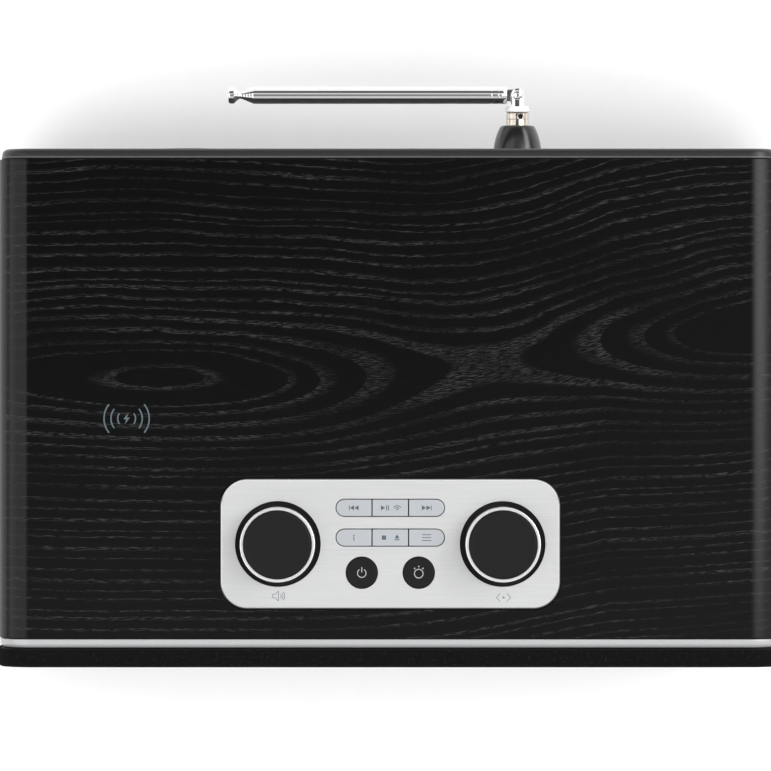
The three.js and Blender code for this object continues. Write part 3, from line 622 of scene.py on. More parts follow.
def turned(name, profile, centre, axis="Z", sides=64):
    """A turned solid. Its profile of (radius, height) points ends on the axis or closes on itself."""
    closed = profile[0] == profile[-1]
    rows = profile[:-1] if closed else profile
    work = bmesh.new()
    rings = []
    for radius, height in rows:
        if radius <= 0.0:
            rings.append([work.verts.new((0.0, 0.0, height))])
        else:
            rings.append([
                work.verts.new((radius * math.cos(a), radius * math.sin(a), height))
                for a in (math.tau * i / sides for i in range(sides))
            ])
    pairs = list(zip(rings, rings[1:] + rings[:1])) if closed else list(zip(rings, rings[1:]))
    for first, second in pairs:
        for i in range(sides):
            j = (i + 1) % sides
            corners = [ring[k % len(ring)] for ring, k in ((first, i), (first, j), (second, j), (second, i))]
            unique = list(dict.fromkeys(corners))
            if len(unique) > 2:
                work.faces.new(unique)
    mesh = meshed(work, name)
    turns = {
        "Z": Matrix.Identity(4),
        "Y": Matrix.Rotation(-math.pi / 2, 4, "X"),
        "-X": Matrix.Rotation(-math.pi / 2, 4, "Y"),
    }
    mesh.transform(Matrix.Translation(centre) @ turns[axis])
    return tidy(mesh)


def slab(name, outlines, low, high, bevel=0.0, bevel_steps=2, facing="Z"):
    """Outlines, the first with the others as holes, made solid from low to high with bevelled edges.

    Facing Z they lie in X and Y; facing Y they lie in X and Z and low and high are depths.
    """
    curve = bpy.data.curves.new(name, "CURVE")
    curve.dimensions = "2D"
    curve.fill_mode = "BOTH"
    curve.extrude = (high - low) / 2 - bevel
    curve.bevel_depth = bevel
    curve.bevel_resolution = bevel_steps
    curve.offset = -bevel
    for outline in outlines:
        spline = curve.splines.new("POLY")
        spline.points.add(len(outline) - 1)
        for point, (x, y) in zip(spline.points, outline):
            point.co = (x, y, 0.0, 1.0)
        spline.use_cyclic_u = True
    holder = bpy.data.objects.new(name, curve)
    mesh = settled(holder)
    bpy.data.curves.remove(curve)
    mesh.name = name
    middle = (low + high) / 2
    if facing == "Y":
        mesh.transform(Matrix.Translation((0.0, middle, 0.0)) @ Matrix.Rotation(math.pi / 2, 4, "X"))
    else:
        mesh.transform(Matrix.Translation((0.0, 0.0, middle)))
    return tidy(mesh)


def settled(holder):
    """The object's shape with its modifiers, as a plain mesh. The object is removed."""
    scene = bpy.context.scene
    if holder.name not in scene.collection.objects:
        scene.collection.objects.link(holder)
    bpy.context.view_layer.update()
    graph = bpy.context.evaluated_depsgraph_get()
    mesh = bpy.data.meshes.new_from_object(holder.evaluated_get(graph))
    bpy.data.objects.remove(holder)
    return mesh


def frame_loops(work, low, high, corner, rows):
    """Loops of vertices round the cabinet's outline, one for each (inset, depth) row, joined by faces."""
    loops = []
    for inset, y in rows:
        loops.append([work.verts.new((x, y, z)) for x, z in rim(low, high, inset, corner - inset)])
    for first, second in zip(loops, loops[1:]):
        for i in range(len(first)):
            j = (i + 1) % len(first)
            work.faces.new((first[i], second[i], second[j], first[j]))
    return loops


def loft(name, low, high, corner, rows):
    """A solid from front to rear through the rows, closed at both ends."""
    work = bmesh.new()
    loops = frame_loops(work, low, high, corner, rows)
    work.faces.new(loops[0])
    work.faces.new(loops[-1][::-1])
    bmesh.ops.recalc_face_normals(work, faces=work.faces)
    return meshed(work, name)


def carved(mesh, cutters, bevel=0.0, segments=2):
    """The mesh less the cutters, with its sharp edges bevelled."""
    holder = placed("carving", mesh)
    tools = []
    for cutter in cutters:
        tool = placed("cutter", cutter)
        cut = holder.modifiers.new("cut", "BOOLEAN")
        cut.operation = "DIFFERENCE"
        cut.solver = "EXACT"
        cut.object = tool
        tools.append(tool)
    if bevel:
        soften = holder.modifiers.new("soften", "BEVEL")
        soften.width = bevel
        soften.segments = segments
        soften.limit_method = "ANGLE"
        soften.angle_limit = BEVEL_ANGLE
    made = settled(holder)
    for tool in tools:
        bpy.data.objects.remove(tool)
    return tidy(made)


def block(name, low, high):
    """A rectangular block between two corners."""
    low, high = Vector(low), Vector(high)
    work = bmesh.new()
    bmesh.ops.create_cube(work, size=1.0)
    for vertex in work.verts:
        vertex.co = [(low[i] + high[i]) / 2 + vertex.co[i] * (high[i] - low[i]) for i in range(3)]
    return meshed(work, name)


def merged(name, meshes):
    """Several meshes as one."""
    work = bmesh.new()
    for mesh in meshes:
        work.from_mesh(mesh)
    made = meshed(work, name)
    made.shade_smooth()
    made.set_sharp_from_angle(angle=CRISP_ANGLE)
    return made


def add_piece(name, mesh, materials, stands_for=(), body=MAIN_BODY):
    """Puts a finished mesh in the scene with its finish, on the body of the parts that it stands for."""
    piece = placed(name, mesh)
    painted = [face.material_index for face in mesh.polygons]
    mesh.materials.clear()
    for material in materials:
        mesh.materials.append(finish(material))
    mesh.polygons.foreach_set("material_index", painted)
    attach(piece, BODY_OF[stands_for[0]] if stands_for else body)
    if stands_for:
        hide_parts(*stands_for)
    return piece


def paint_faces(mesh, index, test):
    """Gives a second material to the faces whose centre and normal pass the test."""
    for face in mesh.polygons:
        if test(face.center, face.normal):
            face.material_index = index


def repaint(node, *materials):
    """A part that keeps its own shape gets its finish."""
    mesh = frame["nodes"][node].data
    mesh.materials.clear()
    for material in materials:
        mesh.materials.append(finish(material))


# ---- operators: one for each group of pieces ----


class RadioOperator(bpy.types.Operator):
    """Base of the radio's operators."""

    bl_options = {"REGISTER", "UNDO"}

    def execute(self, context):
        self.build()
        return {"FINISHED"}


class SCENE_OT_radio_stage(RadioOperator):
    """Make the camera, the floor and the soft studio light"""

    bl_idname = "scene.radio_stage"
    bl_label = "Studio"

    def build(self):
        stage = settings("radio_stage")
        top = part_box("cabinet_shell")[1].z
        lens_data = bpy.data.cameras.new("camera")
        lens_data.sensor_width = 36.0
        lens_data.lens = lens_data.sensor_width * stage.camera_height / stage.view_width
        lens_data.clip_end = 20.0
        camera = placed("camera", lens_data)
        camera.location = (stage.aim_x, stage.aim_y, top + stage.camera_height)
        bpy.context.scene.camera = camera
        bpy.context.scene.view_settings.view_transform = "Standard"
        self.floor()
        self.sky(stage.sky)
        self.lamps()

    def floor(self):
        made = Finish("floor_paper")
        grain = made.noise(made.place(60.0), detail=2.0)
        made.done({"Base Color": made.mix((0.86, 0.86, 0.86), (0.88, 0.88, 0.88), grain), "Roughness": 0.9})
        mesh = bpy.data.meshes.new("floor")
        reach = 6.0
        corners = [(-reach, -reach, 0.0), (reach, -reach, 0.0), (reach, reach, 0.0), (-reach, reach, 0.0)]
        mesh.from_pydata(corners, [], [(0, 1, 2, 3)])
        mesh.materials.append(made.material)
        placed("floor", mesh)

    def sky(self, strength):
        """A white room, dim over the camera, with the dark gaps that give polished metal its lines."""
        made = Finish("studio", world=True)
        bpy.context.scene.world = made.material
        x, y, z = made.split(made.node("ShaderNodeTexCoord", output="Generated"))
        side = x.angle_to(z)
        rear = y.angle_to(z)
        camera = rear.between(-10.0, 10.5, 1.2) * side.between(-17.0, 17.0, 3.0)
        veil = rear.between(-5.2, -1.4, 1.5)
        camera = camera * (1.0 - side.above(-1.0, 6.0) * 0.3) * (1.0 - veil * 0.85)
        rear_gap = rear.between(36.0, 62.0, 2.0)
        left_glow = side.between(-80.0, -18.0, 2.5) * rear.between(-50.0, 34.0, 6.0)
        dim = rear.between(-60.0, 62.0, 10.0) * side.between(-60.0, 60.0, 10.0)
        front_gap = rear.between(-125.0, -64.0, 4.0)
        dark = (camera * 0.9).most(rear_gap * 0.97).most(front_gap * 0.6)
        boss_glow = side.between(40.0, 62.0, 4.0) * rear.between(14.0, 60.0, 6.0)
        level = (1.0 - dark) * (1.0 - dim * 0.35) + left_glow * 0.7 + boss_glow * 5.0
        right_glow = side.above(5.0, 36.0) * (1.0 - side.above(40.0, 78.0)) * rear.above(-6.0, 1.5)
        level = level + right_glow * (1.0 - rear.above(10.0, 28.0)) * 4.0
        grey = made.join(level, level, level)
        light = made.node("ShaderNodeBackground", None, {"Color": grey, "Strength": strength})
        made.node("ShaderNodeOutputWorld", None, {"Surface": light})

    def lamps(self):
        """Soft boxes that don't show in reflections: name, radiance, size and place."""
        aim = Vector((0.0, 0.0, 0.1))
        boxes = [
            ("key_right", 0.7, (0.9, 2.4), (1.4, 0.1, 1.6)),
            ("overhead", 4.35, (2.0, 0.8), (0.0, -0.45, 1.85)),
        ]
        for name, radiance, size, place in boxes:
            data = bpy.data.lights.new(name, "AREA")
            data.shape = "RECTANGLE"
            data.size, data.size_y = size
            data.energy = radiance * math.pi * size[0] * size[1]
            lamp = placed(name, data)
            lamp.location = place
            lamp.rotation_mode = "QUATERNION"
            lamp.rotation_quaternion = (Vector(place) - aim).to_track_quat("Z", "Y")
            lamp.visible_glossy = False


def plate_outline(margin=0.0, steps=16):
    low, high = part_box("control_plate")
    radius = settings("radio_controls").plate_corner + margin
    return rounded(low.x - margin, low.y - margin, high.x + margin, high.y + margin, radius, steps)


class MESH_OT_radio_cabinet(RadioOperator):
    """Make the veneered cabinet, with its cut-out for the controls"""

    bl_idname = "mesh.radio_cabinet"
    bl_label = "Cabinet"

    def build(self):
        wood = settings("radio_cabinet")
        low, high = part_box("cabinet_shell")
        t = wood.wall
        outlines = [rim(low, high, inset, wood.corner - inset) for inset in (0.0, t)]
        tube = slab("cabinet_wood", outlines, low.y, high.y, facing="Y")
        hole = slab("control_cut", [plate_outline(wood.cut_clearance)], high.z - 2 * t, high.z + t)
        mesh = carved(tube, [hole], bevel=0.3 * MM, segments=3)
        mesh.name = "cabinet_wood"
        self.unroll(mesh, low, high, wood.corner)
        paint_faces(mesh, 1, lambda centre, normal: self.is_board(centre, normal, low, high, t))
        add_piece("cabinet_wood", mesh, ["black_ash", "bare_board"], ["cabinet_shell"])

    @staticmethod
    def is_board(centre, normal, low, high, wall):
        """True on the cut ends and on the inner walls."""
        if abs(normal.y) > 0.9 and min(centre.y - low.y, high.y - centre.y) < 0.3 * MM:
            return True
        deep = wall * 0.6
        return low.x + deep < centre.x < high.x - deep and low.z + deep < centre.z < high.z - deep

    @staticmethod
    def unroll(mesh, low, high, corner):
        """UV map of the veneer sheet: across the top, then down the sides, in metres."""
        layer = mesh.uv_layers.new(name="veneer")
        flat = high.x - corner
        quarter = corner * math.pi / 2
        for loop in mesh.loops:
            point = mesh.vertices[loop.vertex_index].co
            side = 1.0 if point.x >= 0.0 else -1.0
            reach = abs(point.x)
            if reach <= flat:
                u = reach if point.z > (low.z + high.z) / 2 else reach + 0.5
            elif point.z > high.z - corner:
                u = flat + corner * math.atan2(reach - flat, max(point.z - (high.z - corner), 1e-9))
            elif point.z > low.z + corner:
                u = flat + quarter + (high.z - corner - point.z)
            else:
                fall = math.atan2(low.z + corner - point.z, max(reach - flat, 1e-9))
                u = flat + quarter + (high.z - low.z - 2 * corner) + corner * fall
            layer.data[loop.index].uv = (side * u, point.y)


class MESH_OT_radio_feet(RadioOperator):
    """Make the four rubber feet"""

    bl_idname = "mesh.radio_feet"
    bl_label = "Feet"

    def build(self):
        for node in ("front_left_foot", "front_right_foot", "rear_left_foot", "rear_right_foot"):
            low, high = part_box(node)
            radius = (high.x - low.x) / 2
            tall = high.z - low.z
            profile = [
                (0.0, 0.5 * MM), (radius * 0.45, 0.5 * MM), (radius * 0.5, 0.05 * MM), (radius * 0.52, 0.0),
                (radius - 1.6 * MM, 0.0), (radius - 0.9 * MM, 0.15 * MM), (radius - 0.35 * MM, 0.6 * MM),
                (radius - 0.1 * MM, 1.3 * MM), (radius - 0.25 * MM, 2.0 * MM), (radius, 2.5 * MM),
                (radius, tall - 0.3 * MM), (radius - 0.3 * MM, tall), (0.0, tall),
            ]
            centre = ((low.x + high.x) / 2, (low.y + high.y) / 2, low.z)
            mesh = turned(f"{node}_rubber", profile, centre)
            add_piece(f"{node}_rubber", mesh, ["foot_rubber"], [node])


FASCIA_CORNER = 5.7 * MM
DISC_SLOT = (-62.0 * MM, 42.7 * MM), (62.0 * MM, 49.3 * MM)


class MESH_OT_radio_front(RadioOperator):
    """Make the trim ring, the stretched cloth and the gloss fascia"""

    bl_idname = "mesh.radio_front"
    bl_label = "Front"

    def build(self):
        self.trim()
        self.cloth()
        self.fascia()
        repaint("grille_frame", "matt_black")
        repaint("front_baffle", "matt_black")
        repaint("display_module", "display_glass")

    def trim(self):
        low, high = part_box("trim_ring")
        corner = settings("radio_cabinet").corner - 1.3 * MM
        inset = 8.2 * MM
        inner = rim(low, high, inset, corner - inset, 16)
        front, soft, tiny = low.y, 3.4 * MM, 0.3 * MM
        rows = [(1.5 * MM * (1.0 - math.sin(t)), front + soft * (1.0 - math.cos(t)))
                for t in quarter_turn()]
        solid = loft("trim", low, high, corner, [*rows, (0.0, high.y - tiny), (tiny, high.y)])
        mesh = carved(solid, [slab("opening", [inner], low.y - MM, high.y + MM, facing="Y")])
        paint_faces(mesh, 1, lambda centre, normal: normal.y > 0.2 and normal.y < 0.98)
        add_piece("silver_trim", mesh, ["silver_trim", "bright_cut"], ["trim_ring"])

    def cloth(self):
        """One sheet: flat over the frame, round over its edge, and down its sides to the rear."""
        front = settings("radio_front")
        low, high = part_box("grille_cloth")
        opening_low, opening_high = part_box("front_fascia")
        corner = settings("radio_cabinet").corner + 0.5 * MM
        soft = front.cloth_round
        margin = 0.15 * MM
        hole = rim(opening_low, opening_high, -margin, FASCIA_CORNER, 10)
        rings = [(soft * (1 - math.sin(t)), low.y + soft * (1 - math.cos(t))) for t in quarter_turn(9)]
        side_rows = 5
        for row in range(1, side_rows + 1):
            rings.append((0.0, low.y + soft + (high.y - low.y - soft) * row / side_rows))
        work = bmesh.new()
        loops = frame_loops(work, low, high, corner, rings)
        lip = [work.verts.new((x, low.y, z)) for x, z in hole]
        deep = [work.verts.new((x, low.y + 1.4 * MM, z)) for x, z in hole]
        edges = []
        for loop in (loops[0], lip):
            for i in range(len(loop)):
                pair = (loop[i], loop[(i + 1) % len(loop)])
                edges.append(work.edges.get(pair) or work.edges.new(pair))
        bmesh.ops.triangle_fill(work, use_beauty=True, edges=edges, normal=(0.0, -1.0, 0.0))
        for i in range(len(lip)):
            j = (i + 1) % len(lip)
            work.faces.new((lip[i], lip[j], deep[j], deep[i]))
        bmesh.ops.recalc_face_normals(work, faces=work.faces)
        holder = bpy.data.objects.new("cloth", meshed(work, "speaker_cloth"))
        thicken = holder.modifiers.new("thickness", "SOLIDIFY")
        thicken.thickness = 0.5 * MM
        thicken.offset = -1.0
        made = tidy(settled(holder))
        self.lay_weave(made, low)
        cloth = add_piece("speaker_cloth", made, ["speaker_cloth"], ["grille_cloth"])

    @staticmethod
    def lay_weave(mesh, low):
        """UV map of the cloth laid flat: the turned-back sides continue the front, in metres."""
        layer = mesh.uv_layers.new(name="weave")
        for face in mesh.polygons:
            for index in face.loop_indices:
                vertex = mesh.vertices[mesh.loops[index].vertex_index]
                depth = vertex.co.y - low.y
                away = Vector((face.normal.x, face.normal.z))
                if away.length > 0.02:
                    away.normalize()
                layer.data[index].uv = (vertex.co.x + away.x * depth, vertex.co.z + away.y * depth)

    def fascia(self):
        low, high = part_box("front_fascia")
        window_low, window_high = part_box("display_module")
        outer = rim(low, high, 0.0, FASCIA_CORNER)
        slot = rounded(*DISC_SLOT[0], *DISC_SLOT[1], 1.6 * MM, 6)
        body = slab("fascia", [outer, slot], low.y, high.y, bevel=0.5 * MM, facing="Y")
        window = rim(window_low, window_high, 0.0, 2.0 * MM, 8)
        recess = slab("recess", [window], low.y - 1.0 * MM, low.y + 0.35 * MM, facing="Y")
        mesh = carved(body, [recess])
        add_piece("fascia_gloss", mesh, ["gloss_black"], ["front_fascia"])
        glass = rim(window_low, window_high, 0.25 * MM, 1.8 * MM, 8)
        pane = slab("display_window", [glass], low.y + 0.12 * MM, low.y + 0.6 * MM, bevel=0.1 * MM, facing="Y")
        add_piece("display_window", pane, ["display_glass"])
        self.lips(low.y)

    def lips(self, front):
        """Two felt strips that close the slot against dust, with the disc's way between them."""
        slot_low, slot_high = DISC_SLOT
        middle = (slot_low[1] + slot_high[1]) / 2
        gap = 0.35 * MM
        for name, low_z, high_z in (
            ("slot_felt_upper", middle + gap, slot_high[1]),
            ("slot_felt_lower", slot_low[1], middle - gap),
        ):
            strip = slab(
                name, [rounded(slot_low[0] + 0.2 * MM, low_z, slot_high[0] - 0.2 * MM, high_z, 0.5 * MM, 4)],
                front + 2.0 * MM, front + 3.4 * MM, bevel=0.2 * MM, facing="Y",
            )
            add_piece(name, strip, ["felt"])


SCREW_NODES = ["lower_left_screw", "lower_right_screw", "upper_left_screw", "upper_right_screw"]


class MESH_OT_radio_rear(RadioOperator):
    """Make the rear panel with its vents, port, sockets and screws"""

    bl_idname = "mesh.radio_rear"
    bl_label = "Rear"

    def build(self):
        self.panel()
        self.port()
        self.sockets()
        self.screws()

    def panel(self):
        """A slab with a large rear rounding and a fine lip beside the wood, cut for what goes through it. The lip's
        faces carry a lighter grey as a painted highlight line.
        """
        low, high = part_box("rear_panel")
        corner = settings("radio_cabinet").corner - 1.6 * MM
        soft = settings("radio_cabinet").rear_round
        lip = 1.1 * MM
        step = 0.22 * MM
        rows = [(0.3 * MM, low.y), (0.0, low.y + 0.25 * MM), (0.0, low.y + lip), (step, low.y + lip + 0.2 * MM)]
        rows += [(step + soft * (1 - math.cos(a)), high.y - soft + soft * math.sin(a)) for a in quarter_turn()]
        body = loft("rear_panel", low, high, corner, rows)
        port_low, port_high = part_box("bass_port")
        through = low.y - MM, high.y + MM
        inlet_low, inlet_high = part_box("power_inlet")
        grow = 0.3 * MM
        inlet = rim(inlet_low, inlet_high, -grow, 1.2 * MM, 4)
        jack_low, jack_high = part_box("headphone_jack")
        jack = (jack_low + jack_high) / 2
        port = circle((port_low.x + port_high.x) / 2, (port_low.z + port_high.z) / 2, 20.8 * MM, 64)
        holes = [port, inlet, circle(jack.x, jack.z, (jack_high.x - jack_low.x) / 2 + grow, 32)]
        cutters = [slab("opening", [hole], *through, facing="Y") for hole in holes]
        for node in SCREW_NODES:
            screw_low, screw_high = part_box(node)
            middle = (screw_low + screw_high) / 2
            pocket = circle(middle.x, middle.z, (screw_high.x - screw_low.x) / 2 + grow, 32)
            cutters.append(slab("pocket", [pocket], high.y - 2.0 * MM, high.y + MM, facing="Y"))
        mesh = carved(body, [*cutters, self.vents(low, high)])
        # the lip's upright faces get the lighter grey: a painted highlight line along the wood's rear edge
        lip_low, lip_high = low.y + 0.2 * MM, low.y + lip + 0.1 * MM
        paint_faces(mesh, 1, lambda centre, normal: lip_low < centre.y < lip_high and abs(normal.y) < 0.5)
        add_piece("rear_cover", mesh, ["dark_plastic", "lip_plastic"], ["rear_panel"])

    def vents(self, low, high):
        """Three columns of cooling slots, placed by a geometry node tree and used as a cutter."""
        outline = rounded(-11 * MM, -1.1 * MM, 11 * MM, 1.1 * MM, 1.05 * MM, 5)
        slot = slab("vent_slot", [outline], low.y - 1.0 * MM, high.y + 1.0 * MM, facing="Y")
        return repeated(slot, {
            "Columns": 3, "Rows": 7, "Column Step": 30.0 * MM, "Row Step": 5.0 * MM,
            "Centre": (118.0 * MM, 0.0, 66.0 * MM),
        })

    def port(self):
        low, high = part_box("bass_port")
        centre = ((low.x + high.x) / 2, 0.0, (low.z + high.z) / 2)
        radius = (high.x - low.x) / 2
        inner = 18.0 * MM
        outer = 20.5 * MM
        long = 5.0 * MM
        flare = [(inner + 3.6 * MM * (1 - math.cos(a)), high.y - long + long * math.sin(a)) for a in quarter_turn()]
        profile = [
            (inner, low.y), (outer, low.y), (outer, high.y - 1.8 * MM), (radius - 0.2 * MM, high.y - 1.8 * MM),
            (radius, high.y - 1.5 * MM), (radius - 0.25 * MM, high.y - 0.8 * MM),
            (radius - 1.3 * MM, high.y - 0.15 * MM), (radius - 2.0 * MM, high.y), *flare[::-1], (inner, low.y),
        ]
        mesh = turned("port_tube", profile, centre, axis="Y", sides=72)
        add_piece("port_tube", mesh, ["matt_black"], ["bass_port"])

    def sockets(self):
        low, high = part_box("power_inlet")
        middle = (low + high) / 2
        outlines = [rim(low, high, 0.0, 1.0 * MM, 5), circle(middle.x, middle.z, 2.8 * MM)]
        body = slab("inlet", outlines, low.y, high.y, bevel=0.2 * MM, facing="Y")
        add_piece("inlet_housing", body, ["matt_black"], ["power_inlet"])
        pin = [(0.0, low.y + 1.0 * MM), (1.0 * MM, low.y + 1.0 * MM), (1.0 * MM, high.y - 1.2 * MM),
               (0.6 * MM, high.y - 0.8 * MM), (0.0, high.y - 0.7 * MM)]
        mesh = turned("inlet_pin", pin, (middle.x, 0.0, middle.z), axis="Y", sides=24)
        add_piece("inlet_pin", mesh, ["steel"])
        low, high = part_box("headphone_jack")
        middle = (low + high) / 2
        outer = (high.x - low.x) / 2
        bore, floor = 1.85 * MM, low.y + 1.0 * MM
        profile = [
            (0.0, low.y), (outer, low.y), (outer, high.y - 0.45 * MM), (outer - 0.6 * MM, high.y - 0.3 * MM),
            (outer - 1.2 * MM, high.y), (2.1 * MM, high.y), (bore, high.y - 0.3 * MM), (bore, floor), (0.0, floor),
        ]
        mesh = turned("jack_body", profile, (middle.x, 0.0, middle.z), axis="Y", sides=48)
        rim_start = high.y - 0.35 * MM
        paint_faces(mesh, 1, lambda centre, normal: (
            centre.y > rim_start and math.hypot(centre.x - middle.x, centre.z - middle.z) < 3.6 * MM))
        add_piece("jack_body", mesh, ["matt_black", "steel"], ["headphone_jack"])

    def screws(self):
        """The four cross-head screws of the panel, made once and repeated by a geometry node tree."""
        boxes = [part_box(node) for node in SCREW_NODES]
        low, high = boxes[0]
        radius = (high.x - low.x) / 2
        seat = high.y - 1.4 * MM
        dome = [(radius * math.cos(a), seat + 0.4 * MM + 1.0 * MM * math.sin(a)) for a in quarter_turn()]
        profile = [(0.0, low.y), (1.6 * MM, low.y), (1.6 * MM, seat), (radius, seat), *dome[:-1], (0.0, high.y)]
        head = turned("screw", profile, (0.0, 0.0, 0.0), axis="Y", sides=40)
        reach, wide, bottom = 1.5 * MM, 0.36 * MM, high.y - 0.9 * MM
        cross = [
            block("cross", (-x, bottom, -z), (x, high.y + MM, z)) for x, z in ((reach, wide), (wide, reach))
        ]
        middles = [(a + b) / 2 for a, b in boxes]
        step_x = max(p.x for p in middles) - min(p.x for p in middles)
        step_z = max(p.z for p in middles) - min(p.z for p in middles)
        centre = sum(middles, Vector()) / len(middles)
        mesh = repeated(carved(head, cross), {
            "Columns": 2, "Rows": 2, "Column Step": step_x, "Row Step": step_z,
            "Centre": (centre.x, 0.0, centre.z), "Finish": finish("screw_black"),
        })
        add_piece("panel_screws", mesh, ["screw_black"], SCREW_NODES)


def repeated(mesh, values):
    """The mesh repeated by the grid tree, whose inputs take these values."""
    holder = bpy.data.objects.new("repeated", mesh)
    grid = holder.modifiers.new("grid", "NODES")
    grid.node_group = slot_grid_tree()
    for item in grid.node_group.interface.items_tree:
        if item.item_type == "SOCKET" and item.in_out == "INPUT" and item.name in values:
            grid[item.identifier] = values[item.name]
    return tidy(settled(holder))


def slot_grid_tree():
    """A geometry node tree that repeats a mesh on an upright grid of columns (X) and rows (Z)."""
    name = "repeat_on_grid"
    if name in bpy.data.node_groups:
        return bpy.data.node_groups[name]
    tree = bpy.data.node_groups.new(name, "GeometryNodeTree")
    tree.interface.new_socket("Geometry", in_out="INPUT", socket_type="NodeSocketGeometry")
    for label, kind in (("Columns", "NodeSocketInt"), ("Rows", "NodeSocketInt"),
                        ("Column Step", "NodeSocketFloat"), ("Row Step", "NodeSocketFloat"),
                        ("Centre", "NodeSocketVector"), ("Finish", "NodeSocketMaterial")):
        tree.interface.new_socket(label, in_out="INPUT", socket_type=kind)
    tree.interface.new_socket("Geometry", in_out="OUTPUT", socket_type="NodeSocketGeometry")
    add = tree.nodes.new
    link = tree.links.new
    source = add("NodeGroupInput")
    grid = add("GeometryNodeMeshGrid")
    turn = add("GeometryNodeTransform")
    instances = add("GeometryNodeInstanceOnPoints")
    real = add("GeometryNodeRealizeInstances")
    paint = add("GeometryNodeSetMaterial")
    out = add("NodeGroupOutput")
    for step, count, side in (("Column Step", "Columns", "Size X"), ("Row Step", "Rows", "Size Y")):
        fewer = add("ShaderNodeMath")
        fewer.operation = "SUBTRACT"
        fewer.inputs[1].default_value = 1.0
        span = add("ShaderNodeMath")
        span.operation = "MULTIPLY"
        link(source.outputs[count], fewer.inputs[0])
        link(fewer.outputs[0], span.inputs[0])
        link(source.outputs[step], span.inputs[1])
        link(span.outputs[0], grid.inputs[side])
    link(source.outputs["Columns"], grid.inputs["Vertices X"])
    link(source.outputs["Rows"], grid.inputs["Vertices Y"])
    turn.inputs["Rotation"].default_value = (math.pi / 2, 0.0, 0.0)
    link(source.outputs["Centre"], turn.inputs["Translation"])
    link(grid.outputs["Mesh"], turn.inputs["Geometry"])
    link(turn.outputs["Geometry"], instances.inputs["Points"])
    link(source.outputs["Geometry"], instances.inputs["Instance"])
    link(instances.outputs["Instances"], real.inputs["Geometry"])
    link(real.outputs["Geometry"], paint.inputs["Geometry"])
    link(source.outputs["Finish"], paint.inputs["Material"])
    link(paint.outputs["Geometry"], out.inputs["Geometry"])
    return tree


